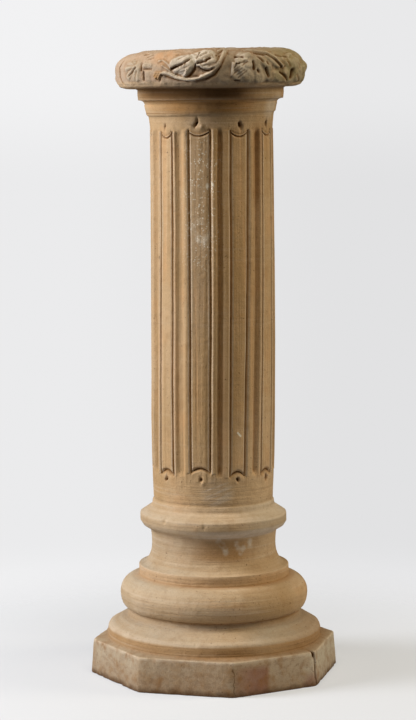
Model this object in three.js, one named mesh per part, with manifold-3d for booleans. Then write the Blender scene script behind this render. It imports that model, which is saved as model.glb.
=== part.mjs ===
import * as THREE from 'three';
import { mergeVertices } from 'three/addons/utils/BufferGeometryUtils.js';
import Module from 'manifold-3d';

const wasm = await Module();
wasm.setup();

// Millimetres. The column stands on z = 0, its axis is Z, and its seen side faces -Y.
// Angles are degrees around the axis from -Y, growing towards +X.
const columnHeight = 1052;
const roundSides = 36;
const overlap = 4;

// Octagonal plinth
const plinth = { sides: 8, footRadius: 212.5, topRadius: 208.5, height: 58, cornerAngle: 8.2, worn: 2.5 };
const crack = { corner: 1, topWidth: 5, footWidth: 2, depth: 14 };

// Turned base, from the plinth up
const footFillet = { radius: 181, top: 75.5 };
const footSlope = { edge: 4.5, edgeTop: 82.5, radius: 155, top: 95.5 };
const quirk = { radius: 145, bottom: 107, top: 110 };
const torus = { radius: 159.2, middle: 136, topRadius: 129.8, top: 166 };
const fillet = { radius: 127.2, top: 185, worn: 1.7 };
const scotia = { radius: 105, middle: 219.7, topRadius: 108.5, top: 246 };
const ring = { radius: 124, under: 119.3, underTop: 252.5, bottom: 260, top: 272, worn: 2 };
const lip = { radius: 106.5, bottom: 284.5, topRadius: 103, top: 296 };

// Shaft, widest a little below its middle
const shaft = { foot: 300, top: 945, widest: 455, radius: 104, footDraw: 2.6, topDraw: 2 };

// Neck and slab
const cove = { bottom: 950, radius: 108.5, waist: 111, waistTop: 962 };
const band = { radius: 122, bottom: 969.5 };
const slab = { bottom: 988, middle: 1018, radius: 157, underRadius: 120, topRadius: 110 };
const slabUnderPower = 4;
const slabTopPower = 2.3;
const rimSteps = 8;

// Ten scored panels, with a round hollow between each two
const panels = { count: 10, firstAngle: -12, width: 18, bottom: 349, top: 916.5, endRise: 7.5 };
const groove = { width: 3.4, depth: 2.4 };
const hollow = { width: 15.5, depth: 4.8, opening: [0, 0.65, 0.92], levels: [0.2, 0.6] };
const drill = { radius: 3.6, depth: 7, sides: 5, lower: 343, upper: 929 };

// Hand-scored lines that stray from their even places: degrees off at the foot and at the head
const strays = [
  { angle: -75, foot: 0, head: 0 },
  { angle: -57, foot: -0.7, head: 3 },
  { angle: -39, foot: -1.5, head: -0.8 },
  { angle: -21, foot: 0, head: -0.8 },
  { angle: -3, foot: 0.3, head: 1.5 },
  { angle: 15, foot: 1.1, head: 2.7 },
  { angle: 33, foot: -2.3, head: 2.8 },
  { angle: 51, foot: 0, head: 4.2 },
  { angle: 69, foot: 0, head: 3.6 },
  { angle: 87, foot: 0, head: 0 },
];

// The slab's vine, pressed on in three repeats; heights run along the rim from its widest line
const garlandRepeats = 3;
const vineStemSection = { radius: 3.6, sides: 4, lift: 1 };
const leafLift = { edge: 2.2, crown: 5.2, middle: 4.2, root: -5, crownShare: 0.55 };
const leafLobes = { count: 5, inner: 0.62, steps: 10 };
const leaves = [
  { angle: -57, height: 1, length: 30, width: 22, turn: 20 },
  { angle: -17, height: 9, length: 19, width: 9, turn: 35 },
  { angle: -3, height: 17, length: 20, width: 9, turn: 15 },
  { angle: 22, height: 5, length: 30, width: 27, turn: -75 },
  { angle: 40, height: 4, length: 20, width: 19, turn: -110 },
];
const vines = [
  [[-30, -5], [-23.5, -9], [-16.5, -15], [-8, -15], [1, -6], [6.4, 12], [9.5, 25], [15, 33]],
  [[-9.5, 10], [-2, 2], [4.5, 5]],
  [[24, 28], [31, 28], [38, 20], [46, -3]],
];
const berries = { angle: -33.5, height: -8, radius: 9, flatten: 0.6 };

// The slab's shoulder is worn lower on its left
const shoulderWear = { angle: -95, spread: 42, drop: 4.5, full: 1048, inner: 104, outer: 124 };

// The body bent in firing: above this height the axis curves to the left
const bend = { start: 560, degrees: 1.3 };

// A point at a radius, an angle and a height
function around(radius, degrees, z) {
  const turn = THREE.MathUtils.degToRad(degrees);
  return new THREE.Vector3(radius * Math.sin(turn), -radius * Math.cos(turn), z);
}

// Points of a quarter round after its start, leaving it upright or level
function quarterRound(start, end, steps, leaving) {
  const points = [];
  for (let step = 1; step <= steps; step += 1) {
    const turn = (Math.PI / 2) * (step / steps);
    const early = Math.sin(turn);
    const late = 1 - Math.cos(turn);
    const across = leaving === 'level' ? early : late;
    const along = leaving === 'level' ? late : early;
    points.push([start[0] + (end[0] - start[0]) * across, start[1] + (end[1] - start[1]) * along]);
  }
  return points;
}

function shaftRadius(z) {
  const low = Math.max(0, (shaft.widest - z) / (shaft.widest - shaft.foot));
  const high = Math.max(0, (z - shaft.widest) / (shaft.top - shaft.widest));
  return shaft.radius - shaft.footDraw * low ** 2 - shaft.topDraw * high ** 2;
}

// The slab's rim from its underside to its top, as two quarters of a superellipse
class RimCurve extends THREE.Curve {
  getPoint(t, target = new THREE.Vector3()) {
    const turn = Math.PI * (t - 0.5);
    const power = t < 0.5 ? slabUnderPower : slabTopPower;
    const inner = t < 0.5 ? slab.underRadius : slab.topRadius;
    const reach = t < 0.5 ? slab.middle - slab.bottom : columnHeight - slab.middle;
    const out = Math.max(0, Math.cos(turn)) ** (2 / power);
    const up = Math.sign(turn) * Math.abs(Math.sin(turn)) ** (2 / power);
    return target.set(inner + (slab.radius - inner) * out, slab.middle + reach * up, 0);
  }
}

const rim = new RimCurve();
const rimDivisions = 200;
const rimLengths = rim.getLengths(rimDivisions);
const rimLength = rimLengths[rimDivisions];
const rimMiddle = rimLengths[rimDivisions / 2];

// A place on the rim: an angle, a height along it from its widest line, and a lift off the surface
function onRim(degrees, height, lift) {
  const share = THREE.MathUtils.clamp((rimMiddle + height) / rimLength, 0, 1);
  const point = rim.getPointAt(share);
  const tangent = rim.getTangentAt(share);
  return around(point.x + tangent.y * lift, degrees, point.y - tangent.x * lift);
}

// A closed solid from a geometry, with shared corners and no empty triangles
function solid(geometry) {
  const shell = geometry.clone();
  shell.deleteAttribute('normal');
  shell.deleteAttribute('uv');
  const merged = mergeVertices(shell.index ? shell : mergeVertices(shell));
  const corners = merged.index.array;
  const kept = [];
  for (let at = 0; at < corners.length; at += 3) {
    const [a, b, c] = [corners[at], corners[at + 1], corners[at + 2]];
    if (a !== b && b !== c && c !== a) kept.push(a, b, c);
  }
  const vertProperties = new Float32Array(merged.attributes.position.array);
  return new wasm.Manifold(new wasm.Mesh({ numProp: 3, vertProperties, triVerts: new Uint32Array(kept) }));
}

function turned(profile, sides, startAngle = 0) {
  const points = profile.map(([radius, z]) => new THREE.Vector2(radius, z));
  const start = THREE.MathUtils.degToRad(startAngle);
  return new THREE.LatheGeometry(points, sides, start).rotateX(Math.PI / 2);
}

// The octagon draws in a little towards its top
function plinthBlock() {
  const { sides, footRadius, topRadius, height, worn, cornerAngle } = plinth;
  return solid(turned([
    [0, 0], [footRadius - worn, 0], [footRadius, worn],
    [topRadius, height - worn], [topRadius - worn, height], [0, height],
  ], sides, cornerAngle));
}

function turnedBase() {
  const scotiaFoot = [fillet.radius - fillet.worn, fillet.top];
  return solid(turned([
    [0, plinth.height / 2],
    [footFillet.radius, plinth.height / 2],
    [footFillet.radius, footFillet.top],
    [footFillet.radius - footSlope.edge, footSlope.edgeTop],
    [footSlope.radius, footSlope.top],
    ...quarterRound([footSlope.radius, footSlope.top], [quirk.radius, quirk.bottom], 2, 'level'),
    [quirk.radius, quirk.top],
    ...quarterRound([quirk.radius, quirk.top], [torus.radius, torus.middle], 3, 'level'),
    ...quarterRound([torus.radius, torus.middle], [torus.topRadius, torus.top], 3, 'upright'),
    [fillet.radius, torus.top],
    [fillet.radius, fillet.top],
    scotiaFoot,
    ...quarterRound(scotiaFoot, [scotia.radius, scotia.middle], 3, 'level'),
    ...quarterRound([scotia.radius, scotia.middle], [scotia.topRadius, scotia.top], 2, 'upright'),
    [ring.under, ring.underTop],
    [ring.radius, ring.bottom],
    [ring.radius, ring.top],
    [ring.radius - ring.worn, ring.top + ring.worn],
    [lip.radius, lip.bottom],
    [lip.topRadius, lip.top],
    [0, lip.top],
  ], roundSides));
}

function turnedCapital() {
  const profile = [
    [0, cove.bottom],
    [cove.radius, cove.bottom],
    [cove.waist, cove.waistTop],
    ...quarterRound([cove.waist, cove.waistTop], [band.radius, band.bottom], 2, 'upright'),
    [band.radius, slab.bottom],
  ];
  for (let step = 1; step < rimSteps; step += 1) {
    const point = rim.getPointAt(step / rimSteps);
    if (point.x > band.radius) profile.push([point.x, point.y]);
  }
  profile.push([slab.topRadius, columnHeight], [0, columnHeight]);
  return solid(turned(profile, roundSides));
}

// How far the scoring strays at an angle and a height
function strayAt(degrees, z) {
  const { lerp, clamp, euclideanModulo } = THREE.MathUtils;
  const turn = euclideanModulo(degrees + 180, 360) - 180;
  const next = strays.findIndex(({ angle }) => angle >= turn);
  if (next < 1) return 0;
  const [before, after] = [strays[next - 1], strays[next]];
  const share = (turn - before.angle) / (after.angle - before.angle);
  const rise = clamp((z - panels.bottom) / (panels.top - panels.bottom), 0, 1);
  return lerp(lerp(before.foot, after.foot, share), lerp(before.head, after.head, share), rise);
}

// Columns of points across one panel and one hollow, as angles from the panel's middle
function fluteColumns() {
  const half = panels.width / 2;
  const line = THREE.MathUtils.radToDeg(groove.width / 2 / shaft.radius);
  const dip = THREE.MathUtils.radToDeg(hollow.width / 2 / shaft.radius);
  const middle = 180 / panels.count;
  return [
    ...[-half - line, -half, line - half, -half / 2, 0, half / 2, half - line, half, half + line],
    ...[-1, -0.5, 0, 0.5, 1].map((share) => middle + share * dip),
  ];
}

// Levels of points up the shaft: how far the hollow has opened, and where the scored lines run
function fluteLevels() {
  const { bottom, top } = panels;
  const step = groove.width / 2;
  const end = (z, rise) => hollow.opening.map((share, at) => (
    { z: z + rise * (at - 1) * step, rise, share, arc: at === 1, line: at > 0 }
  ));
  const foot = end(bottom, 1);
  const head = end(top, -1);
  const between = hollow.levels.map((part) => (
    { z: THREE.MathUtils.lerp(bottom, top, part), rise: 0, share: 1, arc: false, line: true }
  ));
  const plain = (z) => ({ z, rise: 0, share: 0, arc: false, line: false });
  return [plain(shaft.foot), ...foot, ...between, ...head.reverse(), plain(shaft.top)];
}

// The shaft with its panels and hollows, run a little into the base and the capital
function flutedShaft() {
  const columns = fluteColumns();
  const levels = fluteLevels();
  const half = panels.width / 2;
  const sunk = lip.top - overlap;
  const raised = cove.bottom + overlap;
  const profile = [
    [0, sunk], [shaftRadius(shaft.foot), sunk],
    ...levels.map(({ z }) => [shaftRadius(z), z]),
    [shaftRadius(shaft.top), raised], [0, raised],
  ];
  const blank = turned(profile, panels.count * columns.length);
  const place = blank.attributes.position;
  for (let at = 0; at < place.count; at += 1) {
    const column = Math.floor(at / profile.length) % columns.length;
    const panel = Math.floor(at / profile.length / columns.length);
    const row = at % profile.length;
    const offset = columns[column];
    const angle = panels.firstAngle + panel * (360 / panels.count) + offset;
    const level = levels[row - 2];
    let [radius, z] = profile[row];
    if (level && Math.abs(offset) <= half) {
      z += level.rise * panels.endRise * (1 - (offset / half) ** 2);
      const scored = level.arc || (level.line && Math.abs(offset) === half);
      radius = shaftRadius(z) - (scored ? groove.depth : 0);
    } else if (level && offset > half) {
      const share = (offset - 180 / panels.count) / (columns.at(-1) - 180 / panels.count);
      radius -= hollow.depth * level.share * Math.max(0, 1 - share ** 2);
    }
    place.setXYZ(at, ...around(radius, angle + strayAt(angle, z), z).toArray());
  }
  return solid(blank);
}

// A round stem drawn along a curve
function drawn(curve, radius, sides, steps) {
  const section = new THREE.Shape();
  for (let side = 0; side < sides; side += 1) {
    const turn = (2 * Math.PI * side) / sides;
    const corner = [radius * Math.cos(turn), radius * Math.sin(turn)];
    if (side === 0) section.moveTo(...corner);
    else section.lineTo(...corner);
  }
  return solid(new THREE.ExtrudeGeometry(section, { steps, extrudePath: curve, bevelEnabled: false }));
}

// A hole drilled straight in
function drilledHole(middle, z) {
  const hole = new THREE.CylinderGeometry(drill.radius, drill.radius, 2 * drill.depth, drill.sides);
  hole.rotateZ(THREE.MathUtils.degToRad(middle));
  return solid(hole.translate(...around(shaftRadius(z), middle, z).toArray()));
}

// A five-lobed vine leaf laid on the rim, thick at its middle and thin at its edge
function vineLeaf({ angle, height, length, width, turn }) {
  const { edge, crown, middle, root, crownShare } = leafLift;
  const section = [[0, root], [1, root], [1, edge], [crownShare, crown], [0, middle]];
  const blank = new THREE.LatheGeometry(section.map((pair) => new THREE.Vector2(...pair)), leafLobes.steps);
  const spin = THREE.MathUtils.degToRad(turn);
  const place = blank.attributes.position;
  for (let at = 0; at < place.count; at += 1) {
    const bearing = Math.atan2(place.getX(at), place.getZ(at));
    const swell = Math.cos((leafLobes.count / 2) * bearing) ** 2;
    const lobe = THREE.MathUtils.lerp(leafLobes.inner, 1, swell);
    const along = length * lobe * place.getZ(at);
    const across = width * lobe * place.getX(at);
    const right = along * Math.cos(spin) - across * Math.sin(spin);
    const up = along * Math.sin(spin) + across * Math.cos(spin);
    const spot = onRim(angle + THREE.MathUtils.radToDeg(right / slab.radius), height + up, place.getY(at));
    place.setXYZ(at, ...spot.toArray());
  }
  return solid(blank);
}

function vineStem(route) {
  const { radius, sides, lift } = vineStemSection;
  const points = route.map(([angle, height]) => onRim(angle, height, lift));
  return drawn(new THREE.CatmullRomCurve3(points), radius, sides, route.length + 1);
}

function berryKnob({ angle, height, radius, flatten }) {
  const knob = new THREE.IcosahedronGeometry(radius, 1).scale(1, flatten, 1);
  const spot = onRim(angle, height, 0);
  return solid(knob.rotateZ(THREE.MathUtils.degToRad(angle)).translate(...spot.toArray()));
}

function garland(shift) {
  return [
    ...leaves.map((leaf) => vineLeaf({ ...leaf, angle: leaf.angle + shift })),
    ...vines.map((route) => vineStem(route.map(([angle, height]) => [angle + shift, height]))),
    berryKnob({ ...berries, angle: berries.angle + shift }),
  ];
}

// The split that opened at one corner of the plinth, wider at the top
function plinthCrack() {
  const { topWidth, footWidth, depth, corner } = crack;
  const slit = new THREE.Shape([
    new THREE.Vector2(-footWidth / 2, -overlap),
    new THREE.Vector2(footWidth / 2, -overlap),
    new THREE.Vector2(topWidth / 2, plinth.height + overlap),
    new THREE.Vector2(-topWidth / 2, plinth.height + overlap),
  ]);
  const angle = plinth.cornerAngle + corner * (360 / plinth.sides);
  const wedge = new THREE.ExtrudeGeometry(slit, { depth: 2 * depth, bevelEnabled: false });
  wedge.rotateX(Math.PI / 2).rotateZ(THREE.MathUtils.degToRad(angle));
  return solid(wedge.translate(...around(plinth.footRadius - depth, angle, 0).toArray()));
}

// Lowers a point of the slab's upper rim where the shoulder is worn
function wearPoint(point) {
  const { angle, spread, drop, full, inner, outer } = shoulderWear;
  const turn = THREE.MathUtils.radToDeg(Math.atan2(point.x, -point.y));
  const near = Math.exp(-(((turn - angle) / spread) ** 2));
  const rise = THREE.MathUtils.smoothstep(point.z, slab.middle, full);
  const reach = THREE.MathUtils.smoothstep(Math.hypot(point.x, point.y), inner, outer);
  point.z -= drop * near * rise * reach;
  return point;
}

// Carries a point along the bent axis, with its level turned to match
function bendPoint(point) {
  const span = columnHeight - bend.start;
  const above = point.z - bend.start;
  if (above <= 0) return point;
  const most = THREE.MathUtils.degToRad(bend.degrees);
  const lean = most * (above / span);
  const shift = (most * above ** 2) / (2 * span);
  return point.set(point.x * Math.cos(lean) - shift, point.y, point.z + point.x * Math.sin(lean));
}

function columnGeometry() {
  const cuts = [plinthCrack()];
  const pitch = 360 / panels.count;
  for (let index = 0; index < panels.count; index += 1) {
    const middle = panels.firstAngle + index * pitch;
    for (const z of [drill.lower, drill.upper]) {
      cuts.push(drilledHole(middle + strayAt(middle, z), z));
    }
  }
  const joins = [plinthBlock(), turnedBase(), flutedShaft(), turnedCapital()];
  for (let repeat = 0; repeat < garlandRepeats; repeat += 1) {
    joins.push(...garland((360 / garlandRepeats) * repeat));
  }
  const join = (whole, piece) => whole.add(piece);
  const mesh = joins.reduce(join).subtract(cuts.reduce(join)).getMesh();
  const geometry = new THREE.BufferGeometry();
  geometry.setAttribute('position', new THREE.BufferAttribute(new Float32Array(mesh.vertProperties), 3));
  geometry.setIndex(Array.from(mesh.triVerts));
  const place = geometry.attributes.position;
  const point = new THREE.Vector3();
  for (let at = 0; at < place.count; at += 1) {
    bendPoint(wearPoint(point.fromBufferAttribute(place, at)));
    place.setXYZ(at, point.x, point.y, point.z);
  }
  geometry.computeVertexNormals();
  return geometry;
}

const terracotta = new THREE.MeshStandardMaterial({ color: 0xb98d5c, roughness: 0.9, metalness: 0 });

const column = new THREE.Mesh(columnGeometry(), terracotta);
column.name = 'terracotta_column';

const part = new THREE.Group();
part.add(column);

export default part;
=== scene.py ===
import math

import bmesh
import bpy
import numpy as np
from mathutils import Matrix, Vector, noise


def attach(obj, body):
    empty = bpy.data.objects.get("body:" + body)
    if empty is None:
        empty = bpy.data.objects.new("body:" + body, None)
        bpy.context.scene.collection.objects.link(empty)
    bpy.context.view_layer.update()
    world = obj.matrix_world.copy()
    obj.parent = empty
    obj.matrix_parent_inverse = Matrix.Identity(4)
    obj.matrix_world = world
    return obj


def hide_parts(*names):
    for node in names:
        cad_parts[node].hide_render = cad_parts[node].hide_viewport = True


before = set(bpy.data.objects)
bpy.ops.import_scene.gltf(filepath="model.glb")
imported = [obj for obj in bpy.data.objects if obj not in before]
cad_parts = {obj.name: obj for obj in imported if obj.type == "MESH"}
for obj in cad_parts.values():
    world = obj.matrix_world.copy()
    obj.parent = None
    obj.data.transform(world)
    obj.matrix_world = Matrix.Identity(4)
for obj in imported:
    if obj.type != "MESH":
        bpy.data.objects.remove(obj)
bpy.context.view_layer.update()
scene = bpy.context.scene
mm = 0.001  # the piece is drawn in millimetres and written in metres
print("frame loaded:", sorted(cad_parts))


# Camera, at the photograph's height and distance
camera = {"place": (-0.0084, -4.079, 1.001), "pitchDown": 6.57, "lens": 121.55, "film": 36.0}


def addCamera():
    data = bpy.data.cameras.new("camera")
    data.sensor_fit = "VERTICAL"
    data.sensor_height = camera["film"]
    data.lens = camera["lens"]
    eye = bpy.data.objects.new("camera", data)
    eye.location = camera["place"]
    eye.rotation_euler = (math.radians(90 - camera["pitchDown"]), 0, 0)
    scene.collection.objects.link(eye)
    scene.camera = eye


addCamera()
print("camera set")


# Small helpers for outlines: points are (radius, height) in millimetres
def quarterRound(start, end, steps, leaving):
    points = []
    for step in range(1, steps + 1):
        turn = math.pi / 2 * step / steps
        early, late = math.sin(turn), 1 - math.cos(turn)
        across, along = (early, late) if leaving == "level" else (late, early)
        points.append((start[0] + (end[0] - start[0]) * across, start[1] + (end[1] - start[1]) * along))
    return points


def straight(start, end, steps):
    return [
        (start[0] + (end[0] - start[0]) * step / steps, start[1] + (end[1] - start[1]) * step / steps)
        for step in range(1, steps + 1)
    ]


def ease(low, high, value):
    share = np.clip((value - low) / (high - low), 0, 1)
    return share * share * (3 - 2 * share)


def plateau(value, low, lowFull, highFull, high):
    return ease(low, lowFull, value) * (1 - ease(highFull, high, value))


def roughness(points, size, seed):
    scaled = points / size + seed * 17.3
    return np.array([noise.noise(Vector(spot)) for spot in scaled])


def waves(points, layers):
    # hand-made unevenness: height, size and seed of each layer
    return sum(height * roughness(points, size, seed) for height, size, seed in layers)


# Base: an octagonal plinth under turned mouldings
plinth = {
    "footRadius": 212.5, "topRadius": 208.5, "height": 58, "sides": 8, "corner": 8.2, "worn": 2.6,
    "topSlope": 3, "topRings": 5, "underRings": (0, 70, 150), "soleEdge": 4,
    # softness of the corners all round and in front, and how columns crowd towards them
    "soft": 120, "frontSoft": 45, "crowding": 1.6,
}
base = {
    "columns": 360, "inset": 1.5, "filletWorn": (1.8, 1.5),
    "footFillet": (181, 74), "footEdge": (176.5, 82.5), "footSlope": (155, 95.5), "quirk": (145, 107, 110),
    "torus": (159.2, 136), "torusTop": (129.8, 166), "fillet": (127.2, 185),
    "scotia": (105, 219.7), "scotiaTop": (108.5, 246), "ringUnder": (119.3, 252.5), "ring": (124, 260, 271),
    "ringEdge": (122, 274.2), "lip": (108, 283.5), "lipTop": (103.2, 292), "foot": (102, 296),
    # dents and chips: angle, height, half width, depth
    "dents": [(-7.5, 268, 3, 2.5), (12, 262, 3, 2), (-42, 271, 6, 3), (40, 88, 3, 2.5), (70, 78, 4, 3)],
    "waves": [(0.9, 55, 1), (0.35, 16, 2)], "wavesFrom": (100, 130),
    "edgeWear": (3.4, 14, 3, 12),  # depth, size, seed, reach
}
# The split at the plinth's right corner
crack = {
    "corner": 53.2, "reach": 20, "footHalf": 1.2, "opening": 2.0, "flank": 0.7,
    "sway": 1.2, "swayHeight": 9, "slant": 0.06, "slantHeight": 30,
    "octagonFrom": 0.4, "footClosed": 3, "depth": 13, "topDepth": 9,
    "runIn": (170, 185), "topRunIn": (194, 204), "dirtRunIn": (188, 200),
}


# Outlines from the sole upwards: each stretch says how many rows of points it gets
def plinthProfile():
    height, worn, foot, top = plinth["height"], plinth["worn"], plinth["footRadius"], plinth["topRadius"]
    sole, rings = foot - worn, plinth["topRings"]
    rows = [(radius, 0) for radius in (*plinth["underRings"], sole - plinth["soleEdge"], sole)]
    rows += quarterRound((sole, 0), (foot, worn), 3, "level")
    rows += straight((foot, worn), (top, height - worn), 6)
    rows += quarterRound((top, height - worn), (top - worn, height), 3, "upright")
    inner = base["footFillet"][0] + base["inset"]
    onTop = straight((top - worn, height), (inner, height + plinth["topSlope"]), rings)
    # the third number says how far the level follows the octagon
    outer = [(r, z, 1) for r, z in rows]
    return outer + [(r, z, 1 - (step + 1) / rings) for step, (r, z) in enumerate(onTop)]


def baseProfile():
    filletRadius, filletTop = base["fillet"]
    filletFoot = base["torusTop"][1] + 1
    filletIn, filletDown = base["filletWorn"]
    quirkRadius, quirkBottom, quirkTop = base["quirk"]
    ringRadius, ringBottom, ringTop = base["ring"]
    rows = [(base["footFillet"][0], plinth["height"] + plinth["topSlope"] + base["inset"])]
    rows += straight(rows[0], base["footFillet"], 3)
    rows += quarterRound(base["footFillet"], base["footEdge"], 3, "upright")
    rows += straight(base["footEdge"], base["footSlope"], 6)
    rows += quarterRound(base["footSlope"], (quirkRadius, quirkBottom), 4, "level")
    rows += [(quirkRadius, quirkTop)]
    rows += quarterRound(rows[-1], base["torus"], 7, "level")
    rows += quarterRound(base["torus"], base["torusTop"], 9, "upright")
    rows += [(filletRadius, filletFoot)]
    rows += straight(rows[-1], (filletRadius, filletTop - filletDown), 3)
    rows += quarterRound(rows[-1], (filletRadius - filletIn, filletTop), 2, "upright")
    rows += quarterRound(rows[-1], base["scotia"], 8, "level")
    rows += quarterRound(base["scotia"], base["scotiaTop"], 5, "upright")
    rows += straight(base["scotiaTop"], base["ringUnder"], 2)
    rows += straight(base["ringUnder"], (ringRadius, ringBottom), 2)
    rows += straight((ringRadius, ringBottom), (ringRadius, ringTop), 3)
    rows += quarterRound((ringRadius, ringTop), base["ringEdge"], 2, "upright")
    rows += straight(base["ringEdge"], base["lip"], 4)
    rows += quarterRound(base["lip"], base["lipTop"], 3, "level")
    rows += quarterRound(base["lipTop"], base["foot"], 2, "upright")
    return plinthProfile() + [(r, z, 0) for r, z in rows]


# Shaft with ten scored panels and round hollows, and the neck above it
shaft = {
    "columns": 480, "foot": 300, "top": 945, "widest": 455, "radius": 104, "footDraw": 2.6, "topDraw": 2,
    "flare": 2.2, "flareReach": 24, "jointDepth": 0.6, "jointHeight": 2,
    "panels": 10, "firstAngle": -12, "halfPanel": 9, "footEnds": 349, "headEnds": 916.5, "endRise": 7.5,
    # scored lines and the arcs that close the panels
    "grooveHalf": 2.2, "grooveDepth": 3.6, "grooveFlank": 0.85, "grooveVary": (0.35, 38, 12), "arcHalf": 3.4,
    "arcCore": 1.25, "arcDeep": 1.2, "arcThin": (0.45, 0.55), "secondArc": (4.2, 1.3, 0.5),
    "sway": (1.3, 65, 5), "arris": (0.8, 1.1), "panelSoft": 0.5,
    "lineStart": (-2, -0.5), "lineStop": (2.5, 4.5),
    # how dark the lines are, with dirt and painted shade, and the depth at which a hole is fully dark
    "lineDirtAndShade": 0.8, "darkHole": 6,
    # hollows between the panels, and the rounded bead beside each
    "hollowHalf": 4.3, "hollowDepth": 5.0, "hollowDirtAndShade": 0.1, "hollowFlank": 0.85, "bead": (12.2, 2.2, 1.1),
    "hollowFoot": (-5, 8), "hollowHead": (-6, 9),
    "waves": [(0.55, 70, 6), (0.25, 18, 7)],
    # the hand-cut panels seen in front end a little higher or lower: panel, foot, head
    "uneven": [(0, 5, 1), (1, -1.5, -0.8), (9, -2, -1.8), (2, -3, 0)], "unevenReach": 16,
    # heights about the panels' ends over which points are shifted with them, and with their arcs
    "footShiftRun": (-22, -3, 3, 60), "headShiftRun": (-60, -3, 3, 20),
    "footArcRun": (-10, -3, 3, 28), "headArcRun": (-28, -3, 4, 11),
    # hollows that differ: panel before it, then shift, half width, depth, dirt and painted shade
    "hollowOwn": {9: (-0.8, 4.4, 3.6, 0.04), 0: (-0.5, 2.7, 6.2, 0.42), 1: (1.6, 3.2, 5.5, 0.3)},
    # scored lines that stray from their even places: angle, degrees off at the foot, at the head
    "stray": [(-75, 0, 0), (-57, -0.7, 3.0), (-39, -1.5, -0.8), (-21, 0, -0.8), (-3, 0.3, 1.5),
              (15, 1.1, 2.7), (33, -2.3, 2.8), (51, 0, 4.2), (69, 0, 3.6), (87, 0, 0)],
    # scored lines cut wider or finer than the rest: panel, side, factor
    "grooveOwn": [(1, 1, 1.6), (0, -1, 0.9), (1, -1, 1.25), (9, 1, 1.2)],
    # levels of points: under the panels, round their ends, and between
    "footLevels": [306, 316, 327], "bodyLevels": 9, "headLevel": 941,
    "footSteps": [-20, -17, -14.5, -12.8, -11, -9.4, -7.8, -6.2, -4.8, -3.5, -2.3, -1.4, -0.6, 0.1, 0.8,
                  1.6, 2.6, 4, 6.5, 10, 15, 24],
    "headSteps": [-26, -16, -10.5, -7, -4.2, -2.6, -1.6, -0.8, -0.1, 0.6, 1.4, 2.4, 3.2, 4, 5.2, 7,
                  8.8, 10.4, 12, 13.5, 15, 16.6, 18.4],
    # angles of the columns from a panel's middle to the middle of the next hollow
    "spots": [0, 0.8, 1.6, 2.5, 3.6, 5.0, 6.4, 7.4, 7.8, 8.3, 8.7, 9.0, 9.3, 9.7, 10.2, 10.6, 11.3, 12.0,
              12.7, 13.5, 14.3, 15.2, 16.1, 17.0, 18.0], "spotsFrom": 322, "spotsTo": 985,
}
neck = {
    "coveBottom": 951, "coveRadius": 108.5, "waist": 111, "waistTop": 962, "band": 122, "bandBottom": 969.5,
    "bandTop": 986.5, "bandWorn": (1, 1.5), "lineDepth": 1.2, "lineHalf": (1, 2.2), "lineTilt": 2.2,
    "tilted": (938, 946, 956, 968),
}


def shaftRadius(z):
    low = np.maximum(0, (shaft["widest"] - z) / (shaft["widest"] - shaft["foot"]))
    high = np.maximum(0, (z - shaft["widest"]) / (shaft["top"] - shaft["widest"]))
    flare = shaft["flare"] * ease(shaft["top"] - shaft["flareReach"], shaft["top"], z)
    return shaft["radius"] - shaft["footDraw"] * low ** 2 - shaft["topDraw"] * high ** 2 + flare


def neckProfile():
    cove, waist = (neck["coveRadius"], neck["coveBottom"]), (neck["waist"], neck["waistTop"])
    lineMiddle, lineTop = (neck["waistTop"] + step for step in neck["lineHalf"])
    bandIn, bandUp = neck["bandWorn"]
    rows = [(float(shaftRadius(shaft["top"])) + 1, shaft["top"])]
    rows += quarterRound(rows[-1], cove, 3, "level")
    rows += straight(cove, waist, 3)
    rows += [(neck["waist"] - neck["lineDepth"], lineMiddle), (neck["waist"], lineTop)]
    rows += quarterRound(rows[-1], (neck["band"] - bandIn, neck["bandBottom"]), 4, "upright")
    return rows + straight((neck["band"], neck["bandBottom"] + bandUp), (neck["band"], neck["bandTop"]), 2)


def shaftProfile():
    # a fine joint line marks the shaft's foot
    rows = [(float(shaftRadius(shaft["foot"])) - shaft["jointDepth"], shaft["foot"] - shaft["jointHeight"])]
    levels = [shaft["foot"]] + shaft["footLevels"]
    levels += [shaft["footEnds"] + step for step in shaft["footSteps"]]
    headLevels = [shaft["headEnds"] + step for step in shaft["headSteps"]]
    levels += list(np.linspace(levels[-1], headLevels[0], shaft["bodyLevels"])[1:-1])
    levels += headLevels + [shaft["headLevel"]]
    rows += [(float(shaftRadius(z)), float(z)) for z in levels]
    return [(r, z, 0) for r, z in rows + neckProfile()]


# Round slab with a bullnosed rim
slab = {
    "columns": 576, "wedges": 8, "bottom": 988, "middle": 1018, "top": 1052, "radius": 157,
    "underRadius": 120, "topRadius": 110, "underPower": 4, "topPower": 2.3, "shoulder": 1048,
    # rows of points: the lip and its radius, the rim, the shoulder, and rings on the top
    "samples": 1200, "lipInset": 3, "lipRadius": 148, "rows": (5, 43, 7), "topRings": (80, 35, 0),
    # columns drawn together in front, and the shoulder worn down at the left
    "gather": 0.35, "gatherOver": (987.5, 994), "wornLeft": 4.5, "wornAngle": -95, "wornSpread": 42,
    "wornFrom": (104, 124), "lipLine": (995, 1.6),
    # where the rim's own relief begins on the top, and under it
    "rimFrom": (100, 118), "underRim": (148, 152), "topReach": 40,
    "waves": [(1.0, 40, 8), (1.1, 13, 9), (0.5, 6, 11)], "topWaves": [(0.6, 50, 10)],
}


def rimPoint(share):
    turn = math.pi * (share - 0.5)
    upper = share >= 0.5
    power = slab["topPower"] if upper else slab["underPower"]
    inner = slab["topRadius"] if upper else slab["underRadius"]
    reach = slab["top"] - slab["middle"] if upper else slab["middle"] - slab["bottom"]
    out = max(0.0, math.cos(turn)) ** (2 / power)
    up = math.copysign(abs(math.sin(turn)) ** (2 / power), turn)
    return inner + (slab["radius"] - inner) * out, slab["middle"] + reach * up


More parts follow.
